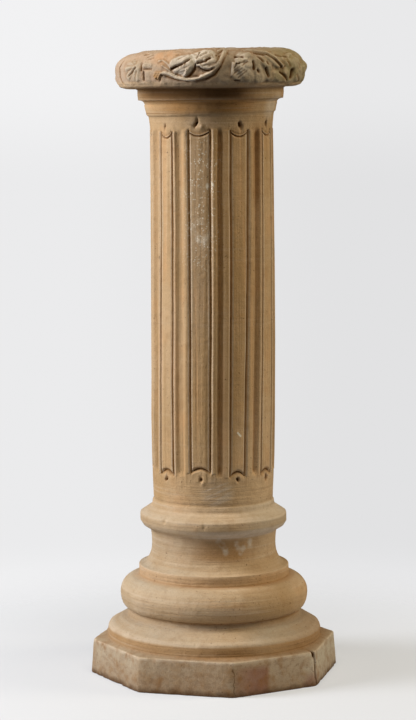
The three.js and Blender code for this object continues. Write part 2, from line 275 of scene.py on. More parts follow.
def rimCurve():
    return np.array([rimPoint(share) for share in np.linspace(0, 1, slab["samples"])])


def slabProfile():
    rim, half = rimCurve(), slab["samples"] // 2
    lengths = np.concatenate([[0], np.cumsum(np.hypot(*np.diff(rim, axis=0).T))])
    lipEnds = [neck["band"] + slab["lipInset"], slab["lipRadius"]]
    start, lip = np.interp(lipEnds, rim[:half, 0], lengths[:half])
    shoulder = np.interp(slab["shoulder"], rim[half:, 1], lengths[half:])
    lipRows, rimRows, topRows = slab["rows"]
    runs = np.concatenate([np.linspace(start, lip, lipRows), np.linspace(lip, shoulder, rimRows)[1:],
                           np.linspace(shoulder, lengths[-1], topRows)[1:]])
    rows = [tuple(float(np.interp(run, lengths, rim[:, axis])) for axis in (0, 1)) for run in runs]
    rows += [(radius, slab["top"]) for radius in slab["topRings"]]
    return [(r, z, 0) for r, z in rows]


# One closed skin: three spun sections bridged into each other
skin = {"sameLevel": 0.1, "doubles": 0.01, "slivers": 0.001}  # millimetres


def spinWedge(bm, section, profile, columns, wedges, startAngle):
    # a slice of the section, which is then copied round
    octagon, sections = bm.verts.layers.float["octagon"], bm.verts.layers.int["section"]
    turn = math.radians(startAngle)
    row = []
    for radius, z, follow in profile:
        vert = bm.verts.new((radius * math.sin(turn), -radius * math.cos(turn), z))
        vert[octagon] = follow
        vert[sections] = section
        row.append(vert)
    edges = [bm.edges.new(pair) for pair in zip(row, row[1:])]
    bmesh.ops.spin(bm, geom=row + edges, cent=(0, 0, 0), axis=(0, 0, 1), dvec=(0, 0, 0),
                   angle=math.tau / wedges, steps=columns // wedges, use_duplicate=False)


def copyRound(bm, section, wedges):
    sections = bm.verts.layers.int["section"]
    verts = [vert for vert in bm.verts if vert[sections] == section]
    faces = {face for vert in verts for face in vert.link_faces}
    edges = {edge for vert in verts for edge in vert.link_edges}
    bmesh.ops.spin(bm, geom=verts + list(edges) + list(faces), cent=(0, 0, 0), axis=(0, 0, 1), dvec=(0, 0, 0),
                   angle=math.tau * (wedges - 1) / wedges, steps=wedges - 1, use_duplicate=True)


def bridgeSections(bm, lower, upper):
    # the topmost rim of the lower section meets the lowest rim of the upper one
    sections = bm.verts.layers.int["section"]
    rims = [edge for edge in bm.edges if edge.is_boundary]
    lowRims = [edge for edge in rims if edge.verts[0][sections] == lower]
    highRims = [edge for edge in rims if edge.verts[0][sections] == upper]
    lowTop = max(edge.verts[0].co.z for edge in lowRims)
    highFoot = min(edge.verts[0].co.z for edge in highRims)
    pair = [edge for edge in lowRims if abs(edge.verts[0].co.z - lowTop) < skin["sameLevel"]]
    pair += [edge for edge in highRims if abs(edge.verts[0].co.z - highFoot) < skin["sameLevel"]]
    bmesh.ops.bridge_loops(bm, edges=pair)


def spinColumn():
    bm = bmesh.new()
    bm.verts.layers.float.new("octagon")
    bm.verts.layers.int.new("section")
    wedges = (plinth["sides"], shaft["panels"], slab["wedges"])
    spinWedge(bm, 0, baseProfile(), base["columns"], wedges[0], plinth["corner"])
    spinWedge(bm, 1, shaftProfile(), shaft["columns"], wedges[1], shaft["firstAngle"])
    spinWedge(bm, 2, slabProfile(), slab["columns"], wedges[2], 0)
    for section, count in enumerate(wedges):
        copyRound(bm, section, count)
    bmesh.ops.remove_doubles(bm, verts=bm.verts, dist=skin["doubles"])
    bmesh.ops.dissolve_degenerate(bm, dist=skin["slivers"], edges=bm.edges)
    bridgeSections(bm, 0, 1)
    bridgeSections(bm, 1, 2)
    bmesh.ops.recalc_face_normals(bm, faces=bm.faces)
    return bm


# Shaping: every level is moved in millimetres, as (radius, angle, height)
def polar(points):
    angle = np.degrees(np.arctan2(points[:, 0], -points[:, 1]))
    return np.hypot(points[:, 0], points[:, 1]), angle, points[:, 2].copy()


def cartesian(radius, angle, z):
    turn = np.radians(angle)
    return np.stack([radius * np.sin(turn), -radius * np.cos(turn), z], axis=1)


def fold(angle, start, pitch):
    return (angle - start + pitch / 2) % pitch - pitch / 2


def octagonShare(angle, offset, half):
    # how far in the flat sides lie, softly joined at the corners
    flat = math.cos(math.radians(half))
    before, after = (flat / np.cos(np.radians(offset + turn)) for turn in (-half, half))
    inFront = np.abs(fold(angle, plinth["corner"], 360)) < half
    soft = np.where(inFront, plinth["frontSoft"], plinth["soft"])
    return -np.log(np.exp(-soft * before) + np.exp(-soft * after)) / soft


def crackIn(radius, angle, z, follow):
    aside = angle - crack["corner"]
    across = radius * np.sin(np.radians(aside)) + crack["sway"] * np.sin(z / crack["swayHeight"])
    across += (z - crack["slantHeight"]) * crack["slant"]
    half = crack["footHalf"] + crack["opening"] * z / plinth["height"]
    split = np.clip(1 - np.abs(across) / half, 0, 1) ** crack["flank"]
    split *= np.abs(fold(aside, 0, 360)) < crack["reach"]
    return split * (follow > crack["octagonFrom"]) * ease(*crack["runIn"], radius)


def shapeBase(points, follow):
    radius, angle, z = polar(points)
    half = 180 / plinth["sides"]
    offset = fold(angle, plinth["corner"], 2 * half)
    nearer = np.sign(offset) * half * (np.abs(offset) / half) ** plinth["crowding"]
    moved = (nearer - offset) * (1 - ease(plinth["height"], base["quirk"][1], z))
    angle, offset = angle + moved, offset + moved
    radius *= 1 + follow * (octagonShare(angle, offset, half) - 1)
    split = crackIn(radius, angle, z, follow)
    face = z < plinth["height"] - 1
    radius -= crack["depth"] * split * face * ease(0, crack["footClosed"], z)
    z -= crack["topDepth"] * split * ~face * ease(*crack["topRunIn"], radius)
    split *= ease(*crack["dirtRunIn"], radius)
    for spot, level, size, depth in base["dents"]:
        away = np.hypot(np.radians(angle - spot) * radius, z - level)
        radius -= depth * (1 - ease(0, size, away))
    moved = cartesian(radius, angle, z)
    fromEdge = np.minimum(z, np.abs(z - plinth["height"]))
    depth, size, seed, reach = base["edgeWear"]
    edgeWear = roughness(moved, size, seed) * follow * (1 - ease(0, reach, fromEdge))
    lift = waves(moved, base["waves"]) + depth * np.minimum(edgeWear, 0)
    return cartesian(radius + lift * ease(*base["wavesFrom"], radius), angle, z), split


# Drilled holes over and under each panel: shift across, shift up, half width, half height, slant, depth
shaftHoles = {
    "upper": {0: (-3.6, 1.5, 2.7, 6.2, 0.45, 7.5), 1: (1.4, -1.5, 4.0, 6.5, -0.3, 8),
              9: (-2.0, -2.5, 2.2, 6.0, 0.4, 4), 2: (-3, 0, 4.0, 6.5, 0, 7)},
    "lower": {0: (0.5, 0, 3.0, 4.2, -0.2, 6), 1: (0.5, -1, 4.2, 4.6, -0.3, 6),
              9: (-1.2, -4, 3.8, 4.4, 0.6, 6), 2: (0.5, -3.5, 5.0, 7.0, 0, 7)},
    "plain": (0, 0, 2.8, 5.0, 0.2, 6), "upperLevel": 929, "lowerLevel": 343, "edge": (0.35, 1.15),
    # clay pushed up beside the holes: panel, across, height, half width, lift
    "lumps": [(0, 3.8, 926, 5.0, 3.0), (0, 3.5, 336, 3.6, 2.4), (1, 3.5, 929, 3, 1.6), (9, 3, 937, 3, 1.0),
              (1, -4, 337, 3.2, 1.4), (9, -2, 348, 3.4, 1.2)],
}


def holesIn(panel, across, z):
    depth = np.zeros_like(z)
    for end in ("upper", "lower"):
        level = shaftHoles[end + "Level"]
        for number in range(shaft["panels"]):
            right, up, wide, tall, slant, deep = shaftHoles[end].get(number, shaftHoles["plain"])
            rise = z - level - up
            side = across - right - slant * rise
            away = np.sqrt((side / wide) ** 2 + (rise / tall) ** 2)
            depth = np.maximum(depth, deep * (1 - ease(*shaftHoles["edge"], away)) * (panel == number))
    return depth * (z < shaft["top"])


def lumpsIn(panel, across, z):
    lift = np.zeros_like(z)
    for number, side, level, size, high in shaftHoles["lumps"]:
        lift += high * (1 - ease(0, size, np.hypot(across - side, z - level))) * (panel == number)
    return lift


def hollowsIn(panel, offset, sway, z):
    # depth of the round hollows, and the dirt and painted shade put in them
    aside = np.zeros_like(z)
    wide, sunk, dirtAndShade = (np.full_like(z, shaft[name]) for name in ("hollowHalf", "hollowDepth", "hollowDirtAndShade"))
    for number, (degrees, ownHalf, ownDepth, ownDirtAndShade) in shaft["hollowOwn"].items():
        before = (panel == number) & (offset > 0)
        after = (panel == (number + 1) % shaft["panels"]) & (offset < 0)
        aside += degrees * before - degrees * after
        both = before | after
        wide[both], sunk[both], dirtAndShade[both] = ownHalf, ownDepth, ownDirtAndShade
    fromHollow = np.abs(offset) - 180 / shaft["panels"] - aside + sway * np.sign(offset)
    dip = np.clip(1 - (fromHollow / wide) ** 2, 0, 1) ** shaft["hollowFlank"]
    dip = dip * ease(*shaft["hollowFoot"], z - shaft["footEnds"])
    dip = dip * (1 - ease(*shaft["hollowHead"], z - shaft["headEnds"]))
    return sunk * dip, dirtAndShade * dip


def linesIn(panel, offset, across, half, bare, sway, fromFoot, fromHead):
    # scored lines at the panels' sides and the arcs at their ends, and the arrises beside the lines
    within = 1 - ease(-shaft["panelSoft"], shaft["panelSoft"], np.abs(across) - half)
    inBody = ease(*shaft["lineStart"], fromFoot) * (1 - ease(*shaft["lineStop"], fromHead))
    line = np.abs(np.abs(across + sway) - half)
    vary, size, seed = shaft["grooveVary"]
    grooveHalf = shaft["grooveHalf"] * (1 + vary * roughness(bare, size, seed))
    for number, side, factor in shaft["grooveOwn"]:
        grooveHalf[(panel == number) & (offset * side > 0)] *= factor
    scored = np.clip(1 - line / grooveHalf, 0, 1) * inBody
    thinnest, thinFrom = shaft["arcThin"]
    footArc = np.clip(shaft["arcCore"] - np.abs(fromFoot) / shaft["arcHalf"], 0, shaft["arcDeep"])
    footArc = footArc * (1 - thinnest * ease(thinFrom, 1, np.abs(across) / half))
    headArc = np.clip(1 - np.abs(fromHead) / shaft["grooveHalf"], 0, 1)
    scored = np.maximum(scored, np.maximum(footArc, headArc) * within)
    above, wide, share = shaft["secondArc"]
    second = share * np.clip(1 - np.abs(fromHead - above) / wide, 0, 1) * within
    beadAngle, beadHalf, beadLift = shaft["bead"]
    bead = beadLift * np.clip(1 - ((np.abs(offset) - beadAngle) / beadHalf) ** 2, 0, 1) * inBody
    beside, spread = shaft["arris"]
    arris = np.clip(1 - np.abs(line - shaft["grooveHalf"] - beside) / spread, 0, 1) * inBody
    return scored, second, bead, arris


def shapeShaft(points):
    radius, angle, z = polar(points)
    pitch = 360 / shaft["panels"]
    panel = np.round((angle - shaft["firstAngle"]) / pitch)
    offset = angle - shaft["firstAngle"] - panel * pitch
    panel = panel % shaft["panels"]
    spot = np.abs(offset) * shaft["columns"] / 360
    places = np.interp(spot, np.arange(len(shaft["spots"])), shaft["spots"])
    gather = plateau(z, shaft["foot"], shaft["spotsFrom"], shaft["top"], shaft["spotsTo"])
    z = z + neck["lineTilt"] * np.sin(np.radians(angle)) * plateau(z, *neck["tilted"])
    moved = (np.sign(offset) * places - offset) * gather
    angle, offset = angle + moved, offset + moved
    half = math.radians(shaft["halfPanel"]) * radius
    across = np.radians(offset) * radius
    # levels near the ends follow the arcs and each panel's own end
    foot, head = shaft["footEnds"], shaft["headEnds"]
    footLine, headLine = np.full_like(z, foot), np.full_like(z, head)
    for number, footShift, headShift in shaft["uneven"]:
        own = (panel == number) * (1 - ease(shaft["halfPanel"] + 1, shaft["unevenReach"], np.abs(offset)))
        z = z + own * footShift * plateau(z - foot, *shaft["footShiftRun"])
        z = z + own * headShift * plateau(z - head, *shaft["headShiftRun"])
        footLine += footShift * (panel == number)
        headLine += headShift * (panel == number)
    fromFoot, fromHead = z - footLine, z - headLine
    arch = shaft["endRise"] * (1 - np.clip(np.abs(across) / half, 0, 1) ** 2)
    z = z + arch * (plateau(z - foot, *shaft["footArcRun"]) - plateau(z - head, *shaft["headArcRun"]))
    bare = cartesian(radius, angle, z)
    swayDepth, swaySize, swaySeed = shaft["sway"]
    sway = swayDepth * roughness(bare, swaySize, swaySeed)
    scored, second, bead, arris = linesIn(panel, offset, across, half, bare, sway, fromFoot, fromHead)
    hollow, dirtAndShade = hollowsIn(panel, offset, np.degrees(sway / radius), z)
    hole = holesIn(panel, across, z)
    depth = shaft["grooveDepth"] * np.maximum(scored ** shaft["grooveFlank"], second) + hollow - bead + hole
    lift = waves(bare, shaft["waves"]) + lumpsIn(panel, across, z)
    rise = np.clip((z - foot) / (head - foot), 0, 1)
    lines, atFoot, atHead = np.array(shaft["stray"]).T
    stray = np.interp(angle, lines, atFoot) * (1 - rise) + np.interp(angle, lines, atHead) * rise
    # lines, holes and hollows darken the clay: dirt and painted shade
    carved = np.maximum.reduce([shaft["lineDirtAndShade"] * scored, second, hole / shaft["darkHole"], dirtAndShade])
    return cartesian(radius - depth + lift, angle + stray * gather, z), carved, arris


# The slab's pressed vine, in millimetres right of the middle and above the rim's widest line
vine = {
    "massEdge": (-1.67, 3.33), "lobeEdge": 0.6, "cutCore": 1.2,
    "berryPlace": (-85.5, -8.2), "berryRadius": 2.16, "berryLift": 4.2, "berryRing": 4.4,
    # dirt and painted shade beside the edges: how far out its middle lies, where it thins, where it ends
    "massDirtAndShade": (1.0, 0.67, 3.16), "stemDirtAndShade": (0.83, 0.5, 2.16), "berryDirtAndShade": (0.17, 0.33, 1.33),
    # a full leaf's lift, the depth of a dark cut, the share of dirt and painted shade at edges, the lift that
    # stays free of them
    "fullLift": 3, "darkCut": 2.6, "edgeDirtAndShade": 0.5, "plainStem": 1.5,
    # the front reaches this angle to each side, and its middle part returns twice behind
    "front": 78, "backFade": (4, 26), "backMiddle": 129, "backPitch": 102, "backEnds": 14,
    # a worn leaf end stands out at the right: angle, height, half width, lift
    "endLump": (88, 1021, 13, 4.5), "topWorn": (0.75, 1040, 1050),
}
# broad leaves: lift, outline
vineLeaves = [
    (1.4, [(-137.9, 15.7), (-124.8, 20.4), (-113.3, 16.8), (-110.9, 1.7), (-113.3, -14.9), (-121.5, -18),
           (-133, -16.1), (-138.7, -4.3)]),
    (2.1, [(-67.5, 7.4), (-62.6, 17.3), (-49.6, 23.6), (-33.2, 24.9), (-21.8, 29.6), (-11.9, 32.7),
           (2.8, 30.7), (12.6, 23.9), (12.6, 12.2), (6.1, 5.7), (-8.7, 3.5), (-20.1, 6.3), (-25, -0.3),
           (-33.2, -8.4), (-43, -11.5), (-51.2, -6.3), (-59.4, -1.1)]),
    (1.5, [(33, -1.6), (35.5, 6.7), (42, 13.2), (43.7, 23.1), (55.1, 29.5), (74.7, 22.4), (84.6, 17.2),
           (96, 3.6), (99.3, -16.4), (84.6, -22.8), (61.7, -23.9), (45.3, -21.9), (33.9, -14.9)]),
    (1.6, [(97.6, -6.4), (107.4, -1.7), (118.9, -8.6), (122.2, -20.3), (109.1, -24.2), (97.6, -19.7)]),
    (2, [(115.6, -6.8), (120.5, 13), (130.3, 22.8), (141.8, 22.5), (151.6, 9), (153.2, -7.7),
         (146.7, -20.9), (130.3, -25.5), (118.9, -21.9)]),
]
# rounded lobes of the leaves: start, half width, end, half width, lift
vineLobes = [
    (-119.9, 3.6, 5.99, -133, -11.1, 5, 1.44), (-119.9, 6.9, 5, -137.9, 4, 4, 1.44),
    (-118.2, 3.6, 5.99, -119.9, -14.7, 5, 1.44), (-119.9, 8.6, 5, -129.7, 17.1, 4, 1.44),
    (-105.2, 9.1, 6.39, -98.6, 8.9, 6.39, 1.76), (-101.9, -5.1, 5.99, -100.3, -15.2, 5, 0.96),
    (-59.4, 8.9, 7.99, -36.5, 18.3, 6.79, 2.16), (-56.1, -1.2, 5.99, -33.2, 8.3, 8.99, 2.16),
    (-31.6, 11.6, 4.4, -38.9, -6.6, 3.2, 2.88), (-20.1, 14.6, 4, -0.5, 20, 6.79, 2.16),
    (-16.8, 7.9, 3, 6.1, 11.5, 6.99, 2.16), (-18.5, 24.6, 5, -8.7, 27.7, 5.99, 2),
    (-2.1, 27.5, 5.99, 9.3, 30.6, 5.99, 2), (36.3, 8.3, 2.4, 33.9, -9.9, 2.6, 3.6),
    (42, 13.2, 3.2, 64.9, 21, 4.8, 2.8), (37.9, 7.4, 2, 58.4, 13.6, 2.8, 3.6),
    (48.6, 1.4, 8.99, 60, -12.2, 11.99, 2.4), (58.4, 4.5, 5.99, 74.7, 10.8, 7.99, 2.4),
    (74.7, 0.8, 7.99, 78, -16, 9.99, 2.4), (84.6, 13.9, 7.99, 94.4, 0.3, 7.99, 2.8),
    (94.4, -3, 5.99, 96, -16.4, 6.99, 2.4), (100.9, -9.8, 7.99, 114, -16.8, 7.99, 2.4),
    (94.4, 17, 5.99, 109.1, 3.3, 5, 3.2), (120.5, 13, 5.99, 133.6, 2.7, 7.99, 2.8),
    (120.5, -6.9, 5.99, 118.9, -20.2, 5.99, 2.4), (136.9, 9.3, 9.99, 141.8, -14.1, 9.99, 3.6),
    (145.1, -4.2, 9.99, 150, -1, 7.99, 4.4), (127.1, 17.9, 4, 136.9, 21, 4, 2.4),
]
# stems: half width at both ends, lift, points
vineStems = [
    (2.53, 3.48, 4.6, [(-79, -4.8), (-70.8, -4.2), (-62.6, -6.9), (-52.8, -12.1), (-39.7, -15.2),
                       (-25, -14.4), (-10.3, -10.3), (2.8, -4.2), (12.6, 4.7), (19.1, 16.2), (24.9, 26.1),
                       (30.6, 31.8)]),
    (2.06, 2.06, 4, [(-20.1, 7.6), (-11.9, 3.1), (-0.5, 2.5), (9.3, 5.6), (16.7, 13.8)]),
    (2.85, 2.85, 4.5, [(64.9, 30.1), (78, 29), (94.4, 23.6), (105.8, 15), (115.6, 2.3)]),
    (1.9, 1.9, 3, [(14.2, 28), (25.7, 32.7)]),
    (1.58, 1.9, 3, [(30.6, 31.8), (42, 32.7), (55.1, 32.9)]),
    (1.42, 1.11, 2.2, [(-83.9, 14.4), (-77.4, 15.9), (-69.2, 10.8), (-62.6, 2.3)]),
    (1.27, 1.11, 2, [(-77.4, 7.6), (-69.2, 2.4), (-62.6, -3.5)]),
]
# knife cuts: start, end, half width, depth
vineCuts = [
    (-131.3, -7.8, -119.9, 5.3, 1.33, 3.9), (-133, 0.6, -126.4, 4.6, 1.25, 1.95),
    (-137.9, -5.1, -133, -1.1, 1.25, 1.56), (-111.7, 11.7, -111.7, 0.1, 1.5, 2.6),
    (-107.9, -1.7, -108.4, -15, 1.67, 3.9), (-108.4, 2.8, -95.3, 2.2, 1.25, 2.86),
    (-116.6, 27.5, -110.1, 28.4, 1.33, 2.6), (-106.8, 23.3, -101.1, 26.5, 1.5, 3.12),
    (-103.5, 19, -95.3, 21.4, 1.25, 1.95), (-131.3, 16.4, -121.5, 16.6, 1.25, 1.56),
    (-61, 1.9, -52.8, 5.4, 2.16, 5.2), (-52.8, 5.4, -43, 9.2, 1.83, 4.42),
    (-43, 9.2, -33.2, 14.9, 1.33, 3.9), (-50.4, 3.3, -49.6, 7, 1.33, 2.34),
    (-45.5, 5.2, -44.6, 9.2, 1.33, 2.34), (-39.7, 8.1, -38.8, 12.1, 1.33, 2.34),
    (-57.7, 24.6, -53.6, 25.4, 1.25, 1.95), (-51.2, 16.2, -38.1, 21.7, 1.25, 1.95),
    (-23.4, 7.2, -25, -0.3, 2, 4.55), (-25, -0.3, -34.8, -10.8, 2.66, 2.86),
    (-36.5, -12.1, -18.5, -10.7, 1.67, 2.6), (-20.1, 9.6, -5.4, 12.6, 1.83, 4.42),
    (-5.4, 14.3, 0.3, 16.6, 2.16, 3.9), (-16.8, 27.9, -21.8, 16.3, 1.25, 2.08),
    (-18.5, 4.9, -10.3, -0.9, 1.25, 3.25), (-10.3, -0.9, -2.1, -2.9, 1.5, 3.25),
    (-2.1, -2.8, 6.1, 0.7, 1.25, 2.6), (10.1, 20.6, 11, 21.2, 1.5, 3.25),
    (15, 20.5, 15.5, 21.3, 1.33, 3.25), (14.2, 25.5, 24, 29.9, 1.25, 1.95),
    (29.8, 26.8, 31.4, 24.2, 1.25, 1.95), (41.2, 18.9, 53.5, 16.9, 1.67, 3.9),
    (40.4, 7.2, 46.9, 8.4, 1.33, 3.25), (46.9, 8.4, 55.1, 11.2, 1.25, 1.95),
    (37.1, 1.6, 42, 4.9, 1.25, 1.56), (37.1, -3.4, 45.3, 2.3, 1.25, 1.69),
    (38.8, -7.6, 48.6, -0.3, 1.25, 1.69), (42, -10.1, 53.5, -2.1, 1.25, 1.56),
    (38.8, -18.4, 46.9, -18.6, 1.33, 2.34), (68.2, 10.1, 69.2, -0.8, 2, 4.55),
    (74.7, -2.6, 76.4, -5.9, 2.16, 2.6), (78, 18.2, 84.6, 9.7, 1.5, 3.25),
    (91.1, 9.9, 92.7, 6.5, 1.67, 3.25), (88.5, 0.5, 92.7, -13, 1.5, 3.9),
    (99.3, 3.5, 100.9, -1.5, 1.25, 1.95), (76.4, 25.4, 94.4, 20.3, 1.25, 2.6),
    (94.4, 20.3, 105.8, 11.7, 1.33, 3.25), (105.8, 11.7, 114, 1.5, 1.67, 3.9),
    (112.4, -6.8, 123.8, -18.7, 1.83, 3.9), (112.4, 22.2, 125.4, 16.2, 1.33, 3.25),
    (102.5, 27.6, 109.1, 26.6, 1.25, 1.56), (117.3, -1, 120.5, 3, 1.25, 2.08),
    (131.2, -2.2, 129.5, -15.5, 2.16, 3.9), (135.2, 24.3, 140.2, 15.9, 1.25, 2.6),
    (2.8, -6.6, 13.6, 2.8, 1.25, 1.82), (13.6, 2.8, 20.4, 14.3, 1.25, 1.82),
    (20.4, 14.3, 25.7, 23.5, 1.25, 1.43), (-21.8, -19, -7, -15.7, 2.16, 1.56),
    (-7, -15.7, 7.7, -9, 2.33, 2.21), (7.7, -9, 17.5, 4.6, 2.33, 2.21), (17.5, 4.6, 24, 18.6, 2, 1.69),
    (-72.4, -10.1, -52.8, -16.9, 1.67, 2.6), (-52.8, -16.9, -33.2, -19.4, 1.5, 2.08),
    (-26.7, 1.4, -31.6, -9.3, 2.33, 2.34), (-80.6, -14.8, -82.3, -17.2, 1.33, 1.95),
    (-147.7, 19.2, -150, 6, 1.33, 3.12), (-150, 6, -149.6, -10.7, 1.33, 3.12),
    (-149.6, -10.7, -146, -20.8, 1.33, 3.12), (-121.5, 8.6, -136.2, 9, 1.25, 1.56),
    (-121.5, 10.3, -131.3, 17.2, 1.25, 1.69), (-119.9, 11.1, -123.1, 18.7, 1.25, 1.56),
    (-123.1, 0.3, -129.7, -12.8, 1.25, 1.56), (-118.2, 0.2, -121.5, -16.3, 1.25, 1.56),
    (35.5, -10, 43.7, -1.8, 1.25, 1.82), (45.3, -13.5, 56.7, -3.8, 1.25, 1.56),
    (50.2, 4.7, 60, 10.3, 1.25, 1.82), (124.6, 12.9, 122.2, 10.5, 1.25, 1.3),
    (64.9, 31.8, 69.8, 31.7, 1.25, 1.69), (140.2, 5.9, 141.8, -0.8, 1.25, 1.56),
    (-49.6, -0.5, -33.2, 5.8, 1.25, 1.56), (-52.8, -4.3, -39.7, -1.6, 1.25, 1.3),
    (-47.9, -8.1, -39.7, -4.9, 1.25, 1.3), (-16.8, 20.4, -3.8, 25.1, 1.25, 1.43),
    (-11.9, 16.1, 4.4, 20.7, 1.25, 1.43), (-8.7, 6.9, 6.1, 9, 1.25, 1.43),
    (-44.6, 21.8, -33.2, 23.2, 1.25, 1.3), (-29.9, 25.7, -21.8, 23, 1.25, 1.56),
    (145.1, 15.8, 148.3, 7.4, 1.25, 1.95), (136.9, -10.7, 141.8, -19.1, 1.25, 1.95),
    (146.7, -7.6, 148.3, -15.9, 1.25, 1.82), (123.8, 9.6, 127.1, 2.9, 1.25, 2.34),
]


def alongSegment(spots, start, end):
    run = np.subtract(end, start)
    share = np.clip((spots - start) @ run / max(run @ run, 1e-9), 0, 1)
    return share, np.linalg.norm(spots - start - share[:, None] * run, axis=1)


def rounded(away, half, lift):
    inner = np.clip(1 - away / half, 0, 1)
    return lift * np.sqrt(np.clip(1 - (1 - inner) ** 2, 0, 1))


def insideOutline(spots, outline):
    # depth inside a closed outline, negative outside
    nearest, inside = np.full(len(spots), 1e9), np.zeros(len(spots), dtype=bool)
    for start, end in zip(outline, outline[1:] + outline[:1]):
        nearest = np.minimum(nearest, alongSegment(spots, start, end)[1])
        if start[1] != end[1]:
            crossing = start[0] + (spots[:, 1] - start[1]) / (end[1] - start[1]) * (end[0] - start[0])
            inside ^= ((spots[:, 1] > start[1]) != (spots[:, 1] > end[1])) & (spots[:, 0] < crossing)
    return np.where(inside, nearest, -nearest)


def lineDirtAndShade(away, offset, full, none):
    return 1 - ease(full, none, np.abs(away - offset))


def leafRelief(spots):
    mass, lobes, dirtAndShade = (np.zeros(len(spots)) for _ in range(3))
    outside, full, none = vine["massDirtAndShade"]
    for lift, outline in vineLeaves:
        depth = insideOutline(spots, outline)
        mass = np.maximum(mass, lift * ease(*vine["massEdge"], depth))
        dirtAndShade = np.maximum(dirtAndShade, lift / vine["fullLift"] * lineDirtAndShade(depth, -outside, full, none))
    for x0, z0, half0, x1, z1, half1, lift in vineLobes:
        share, away = alongSegment(spots, (x0, z0), (x1, z1))
        half = half0 + (half1 - half0) * share
        lobes = np.maximum(lobes, lift * ease(0, vine["lobeEdge"], 1 - away / half))
    return mass + lobes, dirtAndShade


def stemRelief(spots):
    stem, dirtAndShade = np.zeros(len(spots)), np.zeros(len(spots))
    outside, full, none = vine["stemDirtAndShade"]
    for half0, half1, lift, route in vineStems:
        for step, (start, end) in enumerate(zip(route, route[1:])):
            share, away = alongSegment(spots, start, end)
            half = half0 + (half1 - half0) * (step + share) / (len(route) - 1)
            stem = np.maximum(stem, rounded(away, half, lift))
            dirtAndShade = np.maximum(dirtAndShade, lineDirtAndShade(away, half + outside, full, none))
    # a berry head: one grain in the middle and six round it
    outside, full, none = vine["berryDirtAndShade"]
    ring = [(vine["berryRing"] * math.cos(turn), vine["berryRing"] * math.sin(turn))
            for turn in np.radians(np.arange(0, 360, 60))]
    for grain in [(0, 0)] + ring:
        away = np.linalg.norm(spots - vine["berryPlace"] - np.array(grain), axis=1)
        stem = np.maximum(stem, rounded(away, vine["berryRadius"], vine["berryLift"]))
        dirtAndShade = np.maximum(dirtAndShade, lineDirtAndShade(away, vine["berryRadius"] + outside, full, none))
    return stem, dirtAndShade


def vineRelief(spots):
    leaf, leafDirtAndShade = leafRelief(spots)
    stem, stemDirtAndShade = stemRelief(spots)
    cut = np.zeros(len(spots))
    for x0, z0, x1, z1, half, depth in vineCuts:
        away = alongSegment(spots, (x0, z0), (x1, z1))[1]
        cut = np.maximum(cut, depth * np.clip(vine["cutCore"] - away / half, 0, 1))
    dirtAndShade = np.maximum(leafDirtAndShade, stemDirtAndShade) * (stem < vine["plainStem"])
    return np.maximum(leaf, stem), cut, dirtAndShade


def rimNormals(radius, z):
    rim = rimCurve()
    slope = np.gradient(rim, axis=0)
    normals = np.stack([slope[:, 1], -slope[:, 0]], axis=1) / np.linalg.norm(slope, axis=1)[:, None]
    rows, row = np.unique(np.round(np.stack([radius, z], axis=1), 1), axis=0, return_inverse=True)
    places = [int(np.argmin(np.hypot(*(rim - spot).T))) for spot in rows]
    return normals[places][row.ravel()].T


def shapeSlab(points):
    radius, angle, z = polar(points)
    turn = np.radians(angle)
    angle = np.degrees(turn - slab["gather"] * np.sin(turn) * ease(*slab["gatherOver"], z))
    outward, upward = rimNormals(radius, z)
    upper = z > slab["middle"]
    onRim = ease(*slab["underRim"], radius + slab["topReach"] * upper) * ease(*slab["rimFrom"], radius)
    worn = slab["wornLeft"] * np.exp(-((angle - slab["wornAngle"]) / slab["wornSpread"]) ** 2)
    worn *= ease(slab["middle"], slab["shoulder"], z) * ease(*slab["wornFrom"], radius)
    # the front is read once, and its middle part returns twice behind
    front, again = np.abs(angle) < vine["front"], fold(angle, vine["backMiddle"], vine["backPitch"])
    across = slab["radius"] * np.sin(np.radians(np.where(front, angle, again)))
    starting, ended = vine["backFade"]
    behind = ease(vine["front"] + starting, vine["front"] + ended, np.abs(angle))
    behind *= 1 - ease(vine["backPitch"] / 2 - vine["backEnds"], vine["backPitch"] / 2, np.abs(again))
    relief = vineRelief(np.stack([across, z - slab["middle"]], axis=1))
    high, cut, dirtAndShade = (part * np.where(front, 1, behind) for part in relief)
    share, wornFrom, wornTo = vine["topWorn"]
    high *= 1 - share * ease(wornFrom, wornTo, z)
    lumpAngle, lumpLevel, lumpHalf, lumpLift = vine["endLump"]
    away = np.hypot(np.radians(angle - lumpAngle) * radius, z - lumpLevel)
    high = np.maximum(high, lumpLift * (1 - ease(0, lumpHalf, away)))
    bare = cartesian(radius, angle, z)
    lipLevel, lipHalf = slab["lipLine"]
    lip = np.clip(1 - np.abs(z - lipLevel) / lipHalf, 0, 1)
    lift = (high - cut - lip + waves(bare, slab["waves"])) * onRim
    lift += waves(bare, slab["topWaves"]) * (1 - onRim) * upper
    moved = cartesian(radius + lift * outward, angle, z + lift * upward - worn)
    # the cuts and the ground beside the relief's edges darken the clay: dirt and painted shade
    carved = np.maximum(cut / vine["darkCut"], vine["edgeDirtAndShade"] * dirtAndShade)
    return moved, carved * onRim, np.clip(high / vine["fullLift"], 0, 1) * onRim


# The body bent in firing: above this height its axis curves to the left
bend = {"start": 560, "degrees": 1.3, "footShift": 2.6, "shiftFrom": 40, "shiftTo": 420}


def bendBody(points):
    span = slab["top"] - bend["start"]
    above = np.maximum(0, points[:, 2] - bend["start"])
    most = math.radians(bend["degrees"])
    lean, shift = most * above / span, most * above ** 2 / (2 * span)
    shift = shift - bend["footShift"] * (1 - ease(bend["shiftFrom"], bend["shiftTo"], points[:, 2]))
    right, back, up = points.T
    return np.stack([right * np.cos(lean) - shift, back, up + right * np.sin(lean)], axis=1)


